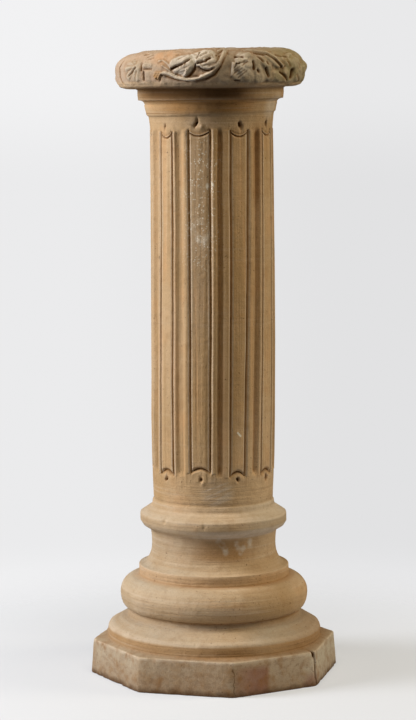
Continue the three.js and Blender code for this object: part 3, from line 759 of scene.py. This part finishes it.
def shapeColumn(bm):
    octagon, sections = bm.verts.layers.float["octagon"], bm.verts.layers.int["section"]
    points = np.array([vert.co[:] for vert in bm.verts])
    follow = np.array([vert[octagon] for vert in bm.verts])
    section = np.array([vert[sections] for vert in bm.verts])
    carved, leafy, arris = (np.zeros(len(points)) for _ in range(3))
    low, mid, high = (section == number for number in range(3))
    points[low], carved[low] = shapeBase(points[low], follow[low])
    points[mid], carved[mid], arris[mid] = shapeShaft(points[mid])
    points[high], carved[high], leafy[high] = shapeSlab(points[high])
    return bendBody(points) * mm, carved, leafy, arris


# bends that hollow the surface darken it with dirt and painted shade; sharp arrises pale it with dust and a
# painted highlight
markGain = 3  # how strongly bends of the surface gather dirt or dust


def surfaceMarks(mesh, points):
    # facing up, and how hollow or sharp the surface is at each point
    normals = np.empty(len(points) * 3)
    mesh.vertex_normals.foreach_get("vector", normals)
    normals = normals.reshape(-1, 3)
    pairs = np.empty(len(mesh.edges) * 2, dtype=np.int32)
    mesh.edges.foreach_get("vertices", pairs)
    ends = pairs.reshape(-1, 2)
    here, there = np.concatenate([ends, ends[:, ::-1]]).T
    run = points[there] - points[here]
    rise = np.einsum("ij,ij->i", run, normals[here]) / np.maximum(np.linalg.norm(run, axis=1), 1e-7)
    count = np.bincount(here, minlength=len(points))
    bow = np.bincount(here, rise, len(points)) / np.maximum(count, 1)
    for _ in range(2):
        # softened a little over the neighbours
        bow = (bow + np.bincount(here, bow[there], len(points))) / (1 + count)
    return normals[:, 2], np.clip(bow * markGain, 0, 1), np.clip(-bow * markGain, 0, 1)


def addColumn():
    bm = spinColumn()
    points, carved, leafy, lineArris = shapeColumn(bm)
    for vert, place in zip(bm.verts, points):
        vert.co = place
    bmesh.ops.recalc_face_normals(bm, faces=bm.faces)
    for face in bm.faces:
        face.smooth = True
    print("skin spun:", len(bm.verts), "points,", sum(len(face.verts) - 2 for face in bm.faces), "triangles,",
          sum(1 for edge in bm.edges if not edge.is_manifold), "open edges")
    mesh = bpy.data.meshes.new("terracottaColumn")
    bm.to_mesh(mesh)
    bm.free()
    upward, hollow, arris = surfaceMarks(mesh, points)
    marks = {"carved": np.clip(carved, 0, 1), "leafy": leafy, "upward": upward, "hollow": hollow,
             "arris": np.maximum(arris, lineArris)}
    for name, values in marks.items():
        mesh.attributes.new(name, "FLOAT", "POINT").data.foreach_set("value", values.astype(np.float32))
    column = bpy.data.objects.new("terracottaColumn", mesh)
    scene.collection.objects.link(column)
    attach(column, "root")
    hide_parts("terracotta_column")
    return column


column = addColumn()
print("column shaped")


# Shader maths written as expressions
class Flow:
    def __init__(self, tree, socket):
        self.tree, self.socket = tree, socket

    def feed(self, socket, value):
        if isinstance(value, Flow):
            self.tree.links.new(value.socket, socket)
        else:
            socket.default_value = value

    def node(self, kind, settings, inputs, output=0):
        made = self.tree.nodes.new(kind)
        for name, value in settings.items():
            setattr(made, name, value)
        for name, value in inputs.items():
            self.feed(made.inputs[name], value)
        return Flow(self.tree, made.outputs[output])

    def maths(self, operation, first, second):
        return self.node("ShaderNodeMath", {"operation": operation}, {0: first, 1: second})

    def __add__(self, other):
        return self.maths("ADD", self, other)

    def __sub__(self, other):
        return self.maths("SUBTRACT", self, other)

    def __rsub__(self, other):
        return self.maths("SUBTRACT", other, self)

    def __mul__(self, other):
        return self.maths("MULTIPLY", self, other)

    __radd__, __rmul__ = __add__, __mul__

    def between(self, low, high):
        return self.node("ShaderNodeMapRange", {"interpolation_type": "SMOOTHSTEP"},
                         {"Value": self, "From Min": low, "From Max": high})

    def outside(self, low, high):
        return 1 - self.between(low, high)

    def mixed(self, share, other):
        return self.node("ShaderNodeMix", {"data_type": "RGBA", "clamp_factor": True},
                         {0: share, 6: self, 7: other}, 2)


def startMaterial(name):
    material = bpy.data.materials.new(name)
    material.use_nodes = True
    tree = material.node_tree
    tree.nodes.clear()
    surface = tree.nodes.new("ShaderNodeBsdfPrincipled")
    output = tree.nodes.new("ShaderNodeOutputMaterial")
    tree.links.new(surface.outputs[0], output.inputs["Surface"])
    return material, Flow(tree, None), surface, output


# Fired clay: colours are linear
clay = {
    "light": (0.53, 0.375, 0.225, 1), "deep": (0.40, 0.255, 0.12, 1), "orange": (0.54, 0.31, 0.145, 1),
    "ochre": (0.36, 0.20, 0.075, 1), "shade": (0.33, 0.205, 0.09, 1), "under": (0.40, 0.20, 0.06, 1),
    "dustAndLight": (0.58, 0.475, 0.36, 1), "bloomAndLight": (0.42, 0.36, 0.275, 1), "grey": (0.31, 0.235, 0.16, 1),
    "plinth": (0.29, 0.205, 0.125, 1), "plinthPale": (0.415, 0.35, 0.255, 1),
    "plinthFoot": (0.19, 0.115, 0.065, 1), "stain": (0.20, 0.088, 0.055, 1),
    "slab": (0.37, 0.265, 0.19, 1), "slabShade": (0.225, 0.178, 0.125, 1), "flush": (0.47, 0.265, 0.135, 1),
    "leaf": (0.345, 0.29, 0.21, 1), "leafPale": (0.60, 0.545, 0.475, 1), "olive": (0.22, 0.182, 0.085, 1),
    "grimeAndShade": (0.065, 0.026, 0.005, 1), "umber": (0.20, 0.086, 0.016, 1), "lime": (0.74, 0.70, 0.60, 1),
    "roughness": 0.92, "gloss": 0.2, "bump": 0.85, "bumpDepth": 0.002, "speckScale": 250, "scuffSlant": 0.35,
}
# patterns: scale, detail, upright stretch, shift
clayPatterns = {
    "broad": (5, 4, 1, 0), "middle": (24, 4, 1, 0), "fine": (95, 5, 1, 0), "grain": (520, 2, 1, 0),
    "mottle": (48, 6, 1, 2), "patches": (17, 5, 1, 4), "runs": (9, 4, 0.12, 3.1), "rings": (5, 5, 30, 1.3),
    "drag": (120, 2, 0.025, 11), "flecks": (42, 5, 1.6, 12), "grit": (105, 5, 1.3, 15),
    "speckEdges": (190, 2, 1, 5), "speckGaps": (70, 2, 1, 7), "pits": (260, 1, 1, 9),
    "throwing": (5, 4, 60, 8), "scuffs": (20, 3, 14, 6),
}
# bands of the column in metres: lowest, highest and softness, up and then across where it has ends
clayBands = {
    "panels": ((0.335, 0.925, 0.015),), "turnedGap": ((0.335, 0.935, 0.015),),
    "brownFront": ((0.44, 0.91, 0.05), (-0.055, 0.075, 0.02)),
    "greyPanel": ((0.60, 0.92, 0.12), (-0.044, -0.004, 0.006)),
    "paleHead": ((0.922, 0.947, 0.004), (-0.04, 0.05, 0.02)), "litSide": ((0.335, 0.93, 0.02),),
    "neckBand": ((0.966, 0.988, 0.004), (-0.115, 0.06, 0.03)),
    "cove": ((0.949, 0.966, 0.004), (-0.09, 0.06, 0.03)),
    "neckShadow": ((0.971, 0.99, 0.006), (-0.118, 0.055, 0.022)),
    "scotia": ((0.205, 0.242, 0.008), (-0.03, 0.06, 0.025)), "footSlope": ((0.06, 0.105, 0.01),),
    "torusUnderShade": ((0.105, 0.136, 0.006), (-0.11, 0.14, 0.02)),
    "torusRight": ((0.108, 0.205, 0.01), (0.05, 0.13, 0.015)), "fillet": ((0.166, 0.184, 0.002),),
    "footFillet": ((0.060, 0.0765, 0.001),), "footEdge": ((0.0785, 0.0845, 0.0015),),
    "ring": ((0.25, 0.297, 0.005),), "ringSlope": ((0.2725, 0.297, 0.0015),),
    "ringFace": ((0.2595, 0.2705, 0.001),), "ringUnder": ((0.2445, 0.2590, 0.002),),
    "slabLip": ((0.9885, 0.9975, 0.002),), "plinthEdge": ((0.0535, 0.0585, 0.0012),),
    "specked": ((0.70, 0.90, 0.03), (-0.046, 0.008, 0.012)), "fewSpecks": ((0.55, 0.92, 0.06),),
    "darkRun": ((0.80, 0.925, 0.02), (0.066, 0.078, 0.005)), "torusCrease": ((0.1058, 0.1108, 0.0015),),
    "filletCrease": ((0.1652, 0.1685, 0.0012),), "plinthCrease": ((0.0585, 0.0635, 0.0012),),
}
# levels in metres, and how far the turning lines are lost on the panels and the slab
clayLevels = {
    "slabFrom": (0.986, 0.992), "plinthTo": (0.056, 0.066), "baseTo": (0.27, 0.31),
    "turnedFrom": (0.06, 0.064), "panelsLost": 0.75, "slabLost": 0.8,
}
# single marks in metres: place and reach, and the share of the reach that is full
clayMarks = {
    "crackFoot": ((0.165, -0.13, 0.006), 0.025), "blob": ((-0.005, -0.103, 0.829), 0.009),
    "tick": ((0.035, -0.207, 0.046), 0.004), "flush": ((-0.076, -0.13, 1.045), 0.034),
    "slabShade": ((0.024, -0.154, 1.014), 0.036), "paleLeaf": ((-0.037, -0.15, 1.03), 0.055),
    "paleTip": ((0.036, -0.15, 1.028), 0.032), "berries": ((-0.0901, -0.1345, 1.0081), 0.012),
    "neckDust": ((0.101, -0.045, 0.957), 0.032), "scuff": ((0.009, -0.1, 0.319), 0.034),
    "greenish": ((-0.021, -0.103, 0.752), 0.03), "core": 0.35,
}
clayScratch = {
    "reach": 0.0024,
    "places": [(0.041, -0.095, 0.4206), (0.0425, -0.0944, 0.4188), (0.044, -0.0938, 0.417),
               (0.0455, -0.093, 0.4152)],
}
clayDrips = {
    "reach": 0.0075,
    "places": [(0.009, -0.107, 0.241), (0.0148, -0.106, 0.2344), (0.0198, -0.105, 0.2275),
               (0.0215, -0.105, 0.2207), (0.039, -0.1, 0.2349), (0.0432, -0.0986, 0.2262),
               (0.0475, -0.0963, 0.219), (0.051, -0.0946, 0.2265), (0.0616, -0.0885, 0.2377),
               (0.063, -0.0875, 0.2291)],
}


class ClayPlaces:
    # where things lie on the column, for the steps that colour it
    def __init__(self, flow):
        self.flow = flow
        self.place = flow.node("ShaderNodeTexCoord", {}, {}, "Object")
        self.x, self.z = (flow.node("ShaderNodeSeparateXYZ", {}, {0: self.place}, axis) for axis in "XZ")
        for name in ("carved", "leafy", "upward", "hollow", "arris"):
            setattr(self, name, flow.node("ShaderNodeAttribute", {"attribute_name": name}, {}, "Fac"))
        tilt = (0, clay["scuffSlant"], 0)
        slanted = flow.node("ShaderNodeMapping", {}, {"Vector": self.place, "Rotation": tilt})
        self.pattern = {name: self.cloud(slanted if name == "scuffs" else self.place, *values)
                        for name, values in clayPatterns.items()}
        self.onSlab = self.z.between(*clayLevels["slabFrom"])
        self.onPlinth = self.z.outside(*clayLevels["plinthTo"])
        offPanels = 1 - clayLevels["panelsLost"] * self.band("turnedGap")
        offSlab = 1 - clayLevels["slabLost"] * self.onSlab
        self.turned = offPanels * self.z.between(*clayLevels["turnedFrom"]) * offSlab

    def cloud(self, place, scale, detail, stretch, shift):
        spread = self.flow.node("ShaderNodeMapping", {}, {"Vector": place, "Scale": (1, 1, stretch),
                                                          "Location": (shift, shift, shift)})
        inputs = {"Vector": spread, "Scale": scale, "Detail": detail}
        return self.flow.node("ShaderNodeTexNoise", {}, inputs, "Fac")

    def span(self, axis, low, high, soft):
        return axis.between(low - soft, low + soft) * axis.outside(high - soft, high + soft)

    def band(self, name):
        up, *across = clayBands[name]
        inside = self.span(self.z, *up)
        return inside * self.span(self.x, *across[0]) if across else inside

    def near(self, spot, reach):
        ends = {0: self.place, 1: spot}
        away = self.flow.node("ShaderNodeVectorMath", {"operation": "DISTANCE"}, ends, "Value")
        return away.outside(reach * clayMarks["core"], reach)

    def mark(self, name):
        return self.near(*clayMarks[name])


def colourShaft(at, colour):
    middle, drag = at.pattern["middle"], at.pattern["drag"]
    colour = colour.mixed(middle.between(0.48, 0.72) * 0.45, clay["orange"])
    # browner front of the shaft with painted shade on it, its greyer middle panel, painted light on the plain
    # band over the panels' heads, and painted shade with some dirt on the neck under the slab
    colour = colour.mixed(at.band("brownFront") * 0.5, clay["shade"])
    colour = colour.mixed(at.band("greyPanel") * 0.5, clay["grey"])
    colour = colour.mixed(at.band("paleHead") * 0.6, clay["light"])
    colour = colour.mixed((at.band("neckBand") + at.band("cove")) * 0.75, clay["under"])
    # painted shade in the scotia under the ring
    colour = colour.mixed(at.band("scotia") * 0.7, clay["under"])
    # painted shade deepens the lit left side
    colour = colour.mixed(at.band("litSide") * at.x.outside(-0.09, -0.055) * 0.3, clay["deep"])
    # drag lines down the panels
    colour = colour.mixed(drag.between(0.5, 0.70) * at.band("panels") * 0.5, clay["shade"])
    return colour.mixed(drag.outside(0.32, 0.48) * at.band("panels") * 0.4, clay["orange"])


def colourBase(at, colour):
    # dusty bloom, made stronger to the left as painted light
    low, rings = at.z.outside(*clayLevels["baseTo"]), at.pattern["rings"]
    bloomAndLight = low * (0.45 - at.x.between(-0.12, 0.06) * 0.42) + at.upward.between(0.3, 0.95) * 0.35 * low
    bloomAndLight = bloomAndLight + (at.band("footSlope") + 1.4 * at.band("ring")) * at.x.between(0.02, 0.09) * 0.45
    colour = colour.mixed(bloomAndLight * (0.5 + at.pattern["middle"]), clay["bloomAndLight"])
    # painted shade on the torus's underside
    colour = colour.mixed(at.band("torusUnderShade") * 0.5, clay["shade"])
    colour = colour.mixed(at.band("torusRight") * 0.4, clay["shade"])
    colour = colour.mixed(at.band("fillet") * 0.4, clay["orange"])
    colour = colour.mixed(at.band("footFillet") * 0.65, clay["ochre"])
    # a painted highlight along the foot's edge
    colour = colour.mixed(at.band("footEdge") * (0.2 + at.pattern["patches"]) * 0.6, clay["dustAndLight"])
    # the ring's pale slope over its browner face
    colour = colour.mixed(at.band("ringSlope") * (0.1 + 0.5 * at.x.between(-0.02, 0.1)), clay["dustAndLight"])
    colour = colour.mixed(at.band("ringFace") * 0.2, clay["deep"])
    # painted light on the ring's underside, from the middle to the right
    colour = colour.mixed(at.band("ringUnder") * at.x.between(-0.07, 0) * 0.9, clay["dustAndLight"])
    # turning lines
    colour = colour.mixed(rings.between(0.48, 0.72) * at.turned * 0.3, clay["shade"])
    return colour.mixed(rings.outside(0.3, 0.46) * at.turned * 0.3, clay["dustAndLight"])


def colourSlab(at, colour):
    patches = at.pattern["patches"]
    colour = colour.mixed(at.onSlab * 0.85, clay["slab"])
    colour = colour.mixed(at.onSlab * at.mark("flush") * patches.between(0.35, 0.6) * 0.7, clay["flush"])
    colour = colour.mixed(at.leafy * 0.85, clay["leaf"])
    colour = colour.mixed(at.onSlab * at.x.between(-0.025, 0.025) * 0.55, clay["slabShade"])
    colour = colour.mixed(at.mark("slabShade") * (0.4 + 0.5 * patches), clay["slabShade"])
    pale = at.mark("paleLeaf") + at.mark("paleTip")
    colour = colour.mixed(at.leafy.between(0.1, 0.7) * pale * 0.8, clay["leafPale"])
    colour = colour.mixed(at.onSlab * at.x.between(0.05, 0.13) * 0.75, clay["olive"])
    # painted light on the slab's downward-facing lip
    colour = colour.mixed(at.band("slabLip") * 0.85, clay["light"])
    colour = colour.mixed(at.mark("berries") * 0.85, clay["under"])
    return colour.mixed(at.onSlab * at.pattern["mottle"].between(0.42, 0.62) * 0.35, clay["bloomAndLight"])


def colourPlinth(at, colour):
    x, z, onPlinth = at.x, at.z, at.onPlinth
    middle, fine, mottle, patches, flecks, grit = (
        at.pattern[name] for name in ("middle", "fine", "mottle", "patches", "flecks", "grit"))
    colour = colour.mixed(onPlinth * 0.92, clay["plinth"])
    # paler on its side faces
    sides = (1 - at.span(x, -0.125, 0.15, 0.012)) * (0.3 + 0.3 * x.between(0, 0.1))
    sides = sides + 0.32 * x.between(0.02, 0.1)
    colour = colour.mixed(onPlinth * (sides + patches.between(0.5, 0.66) * 0.12), clay["plinthPale"])
    colour = colour.mixed(onPlinth * flecks.between(0.50, 0.68) * 0.3, clay["umber"])
    colour = colour.mixed(onPlinth * flecks.outside(0.32, 0.46) * 0.1, clay["plinthPale"])
    colour = colour.mixed(onPlinth * grit.between(0.5, 0.64) * 0.35, clay["plinthFoot"])
    colour = colour.mixed(onPlinth * grit.outside(0.36, 0.48) * 0.15, clay["plinthPale"])
    colour = colour.mixed(onPlinth * z.outside(0, 0.045) * 0.4, clay["plinthFoot"])
    colour = colour.mixed(onPlinth * z.between(0.02, 0.05) * x.outside(-0.09, 0) * 0.25, clay["plinthPale"])
    # the reddish stain, the dark line at the front corner, the pale upper edge, worn and with a painted
    # highlight
    stain = at.span(x + 0.01 * middle, 0.042, 0.096, 0.004) * (z + 0.02 * middle).outside(0.048, 0.062)
    stain = stain * (0.35 + 0.4 * x.between(0.04, 0.065)) * (0.4 + fine + mottle * 0.3)
    colour = colour.mixed(stain, clay["stain"])
    cornerLine = at.span(x + 0.022 * flecks, 0.0445, 0.0463, 0.0008) * z.outside(0.045, 0.05)
    colour = colour.mixed(cornerLine * 0.7, clay["grimeAndShade"])
    edge = at.band("plinthEdge") * at.arris.between(0.02, 0.3)
    colour = colour.mixed(edge * (0.2 + 0.6 * patches), clay["dustAndLight"])
    return colour.mixed(at.mark("crackFoot") * 0.6, clay["stain"])


def colourMarks(at, colour):
    fine, mottle = at.pattern["fine"], at.pattern["mottle"]
    # dusty arrises, with a painted highlight along them
    colour = colour.mixed(at.arris.between(0.08, 0.65) * (0.6 - 0.3 * at.onPlinth), clay["dustAndLight"])
    colour = colour.mixed(at.mark("neckDust") * 0.75, clay["dustAndLight"])
    colour = colour.mixed(fine.between(0.5, 0.72) * 0.2, clay["shade"])
    # lime specks, scuffs and runs
    cells = {"Vector": at.place, "Scale": clay["speckScale"]}
    dots = at.flow.node("ShaderNodeTexVoronoi", {}, cells, "Distance")
    specks = (dots - 0.5 * at.pattern["speckEdges"]).outside(-0.08, 0.14)
    specks = specks * at.pattern["speckGaps"].between(0.38, 0.56) * at.span(at.x, -0.06, 0.05, 0.02)
    specks = specks * (at.band("specked") + at.band("fewSpecks") * 0.12)
    colour = colour.mixed(specks * 0.6, clay["lime"])
    scuffs = 0.4 + at.pattern["scuffs"].between(0.45, 0.6)
    colour = colour.mixed(scuffs * at.mark("scuff") * 0.55, clay["dustAndLight"])
    for spot in clayDrips["places"]:
        colour = colour.mixed(at.near(spot, clayDrips["reach"]) * fine.between(0.3, 0.6) * 0.4, clay["lime"])
    for spot in clayScratch["places"]:
        colour = colour.mixed(at.near(spot, clayScratch["reach"]) * 0.9, clay["lime"])
    for name in ("blob", "tick"):
        colour = colour.mixed(at.mark(name) * fine.between(0.4, 0.5), clay["lime"])
    # pale green bloom low on the speckled panel, and a dark run beside the last panel
    colour = colour.mixed(at.mark("greenish") * mottle.between(0.4, 0.65) * 0.5, clay["lime"])
    return colour.mixed(at.band("darkRun") * 0.55, clay["umber"])


def colourDirtAndShade(at, colour):
    # dirt, and painted shade in creases, hollows, cut lines and under overhangs
    x, z, fine = at.x, at.z, at.pattern["fine"]
    colour = colour.mixed(at.pattern["mottle"].between(0.5, 0.75) * (0.18 + 0.4 * at.onPlinth), clay["umber"])
    # the foot slope darkened, with painted shade under the torus towards the right
    colour = colour.mixed(at.band("footSlope") * (0.1 + x.between(0.09, 0.18) * 0.3), clay["umber"])
    # painted shade in the creases under the torus, at the fillet's foot and over the plinth
    creaseShade = at.band("torusCrease") + at.band("filletCrease") + at.band("plinthCrease")
    colour = colour.mixed(creaseShade * (0.1 + 0.25 * x.between(-0.1, -0.02)), clay["umber"])
    # a painted shadow line under the cove, leaning with the bent body
    coveShadowLine = at.span(z - 0.02 * x, 0.9468, 0.9496, 0.001)
    colour = colour.mixed(coveShadowLine * x.outside(-0.03, 0.03) * 0.4, clay["umber"])
    # brown dirt and painted shade in hollows and cut lines
    dirtyAndShaded = at.hollow.between(0.10, 0.8) * 0.7 + at.carved * 0.9
    colour = colour.mixed(dirtyAndShaded * (0.6 + 0.55 * fine), clay["umber"])
    # the darkest tone: dirt and painted shade in hollows and cut lines, the slab's painted shadow across the
    # neck band, and painted contact shade on the plinth's chipped foot
    deep = at.hollow.between(0.35, 1.0) * 0.6 + at.carved.between(0.4, 1.0) * (0.45 + 0.35 * at.onSlab)
    deep = deep + at.band("neckShadow") * 0.78 + (z + fine * 0.012).outside(0.007, 0.019) * 0.8
    colour = colour.mixed(deep, clay["grimeAndShade"])
    pits = at.pattern["pits"].between(0.69, 0.76) * at.pattern["patches"].between(0.4, 0.6)
    colour = colour.mixed(pits * 0.6, clay["grimeAndShade"])
    return colour.mixed(at.pattern["grain"].between(0.45, 0.75) * 0.18, clay["grimeAndShade"])


def clayBump(at):
    pattern = at.pattern
    height = pattern["fine"] * 0.6 + pattern["grain"] * 0.25 + pattern["mottle"] * (0.8 + at.onSlab)
    height = height + pattern["throwing"] * at.turned * 0.8 + pattern["drag"] * at.band("panels") * 1.3
    return at.flow.node("ShaderNodeBump", {}, {"Height": height, "Strength": clay["bump"],
                                               "Distance": clay["bumpDepth"]})


def addClay():
    material, flow, surface, _ = startMaterial("firedClay")
    at = ClayPlaces(flow)
    worn = (at.pattern["broad"] * 0.45 + at.pattern["runs"] * 0.55).between(0.36, 0.62)
    fired = {0: worn, 6: clay["light"], 7: clay["deep"]}
    colour = flow.node("ShaderNodeMix", {"data_type": "RGBA"}, fired, 2)
    for step in (colourShaft, colourBase, colourSlab, colourPlinth, colourMarks, colourDirtAndShade):
        colour = step(at, colour)
    surface.inputs["Roughness"].default_value = clay["roughness"]
    surface.inputs["Specular IOR Level"].default_value = clay["gloss"]
    flow.feed(surface.inputs["Base Color"], colour)
    flow.feed(surface.inputs["Normal"], clayBump(at))
    return material


column.data.materials.append(addClay())
print("clay mixed")


# Studio: pale floor, large soft lights
studio = {
    "floorSize": 3.0, "floorSides": 96, "floorColour": (0.36, 0.38, 0.42, 1), "floorRoughness": 0.9,
    "floorGlow": 0.37, "fadeFrom": 0.28, "fadeTo": 0.95, "ambient": 0.03, "paper": (1, 1, 1.01, 1),
    # the paper behind: brightness, and how much it changes from where to where, across and up
    "backdrop": 0.83, "paperFall": (0.07, -0.06, 0.06), "paperRise": (0.055, -0.045, 0),
    "paperFoot": (0.07, -0.215, -0.185), "aim": (0, 0, 0.55),
    # lights: azimuth, elevation, distance, size, power, colour
    "lights": {
        "key": (-80, 22, 2.6, (1.0, 1.8), 96, (1, 0.99, 1.0)),
        "fill": (90, 18, 2.8, (1.0, 1.6), 46, (1, 0.89, 0.68)),
        "top": (8, 62, 2.5, (2.2, 1.3), 40, (1, 0.88, 0.67)),
    },
}


def addLight(name, azimuth, elevation, away, size, power, colour):
    data = bpy.data.lights.new(name, "AREA")
    data.shape, data.size, data.size_y = "RECTANGLE", size[0], size[1]
    data.energy, data.color = power, colour
    lamp = bpy.data.objects.new(name, data)
    turn, rise = math.radians(azimuth), math.radians(elevation)
    aim = Vector(studio["aim"])
    side = Vector((math.cos(rise) * math.sin(turn), -math.cos(rise) * math.cos(turn), math.sin(rise)))
    lamp.location = aim + away * side
    lamp.rotation_euler = (aim - lamp.location).to_track_quat("-Z", "Y").to_euler()
    scene.collection.objects.link(lamp)


def addFloor():
    bm = bmesh.new()
    bmesh.ops.create_circle(bm, cap_ends=True, radius=studio["floorSize"], segments=studio["floorSides"])
    mesh = bpy.data.meshes.new("floor")
    bm.to_mesh(mesh)
    bm.free()
    floor = bpy.data.objects.new("floor", mesh)
    scene.collection.objects.link(floor)
    material, flow, surface, output = startMaterial("floorPaper")
    surface.inputs["Base Color"].default_value = studio["floorColour"]
    surface.inputs["Roughness"].default_value = studio["floorRoughness"]
    surface.inputs["Emission Color"].default_value = (1, 1, 1, 1)
    surface.inputs["Emission Strength"].default_value = studio["floorGlow"]
    # the floor fades out into the paper behind
    place = flow.node("ShaderNodeTexCoord", {}, {}, "Object")
    away = flow.node("ShaderNodeVectorMath", {"operation": "LENGTH"}, {0: place}, "Value")
    clear = flow.node("ShaderNodeBsdfTransparent", {}, {})
    faded = flow.node("ShaderNodeMixShader", {}, {0: away.between(studio["fadeFrom"], studio["fadeTo"]),
                                                  1: Flow(flow.tree, surface.outputs[0]), 2: clear})
    flow.feed(output.inputs["Surface"], faded)
    mesh.materials.append(material)


def addWorld():
    world = bpy.data.worlds.new("studio")
    world.use_nodes = True
    tree = world.node_tree
    tree.nodes.clear()
    flow = Flow(tree, None)
    seen = flow.node("ShaderNodeLightPath", {}, {}, "Is Camera Ray")
    look = flow.node("ShaderNodeTexCoord", {}, {}, "Generated")
    aside, rise = (flow.node("ShaderNodeSeparateXYZ", {}, {0: look}, axis) for axis in "XZ")
    darker, left, right = studio["paperFall"]
    lighter, under, over = studio["paperRise"]
    lightFoot, foot, above = studio["paperFoot"]
    paper = studio["backdrop"] - darker * aside.between(left, right) + lighter * rise.between(under, over)
    paper = paper + lightFoot * rise.outside(foot, above)
    strength = seen * (paper - studio["ambient"]) + studio["ambient"]
    back = flow.node("ShaderNodeBackground", {}, {"Color": studio["paper"], "Strength": strength})
    output = tree.nodes.new("ShaderNodeOutputWorld")
    flow.feed(output.inputs["Surface"], back)
    scene.world = world


addFloor()
addWorld()
for name, settings in studio["lights"].items():
    addLight(name, *settings)
scene.view_settings.view_transform = "Standard"
print("studio lit")
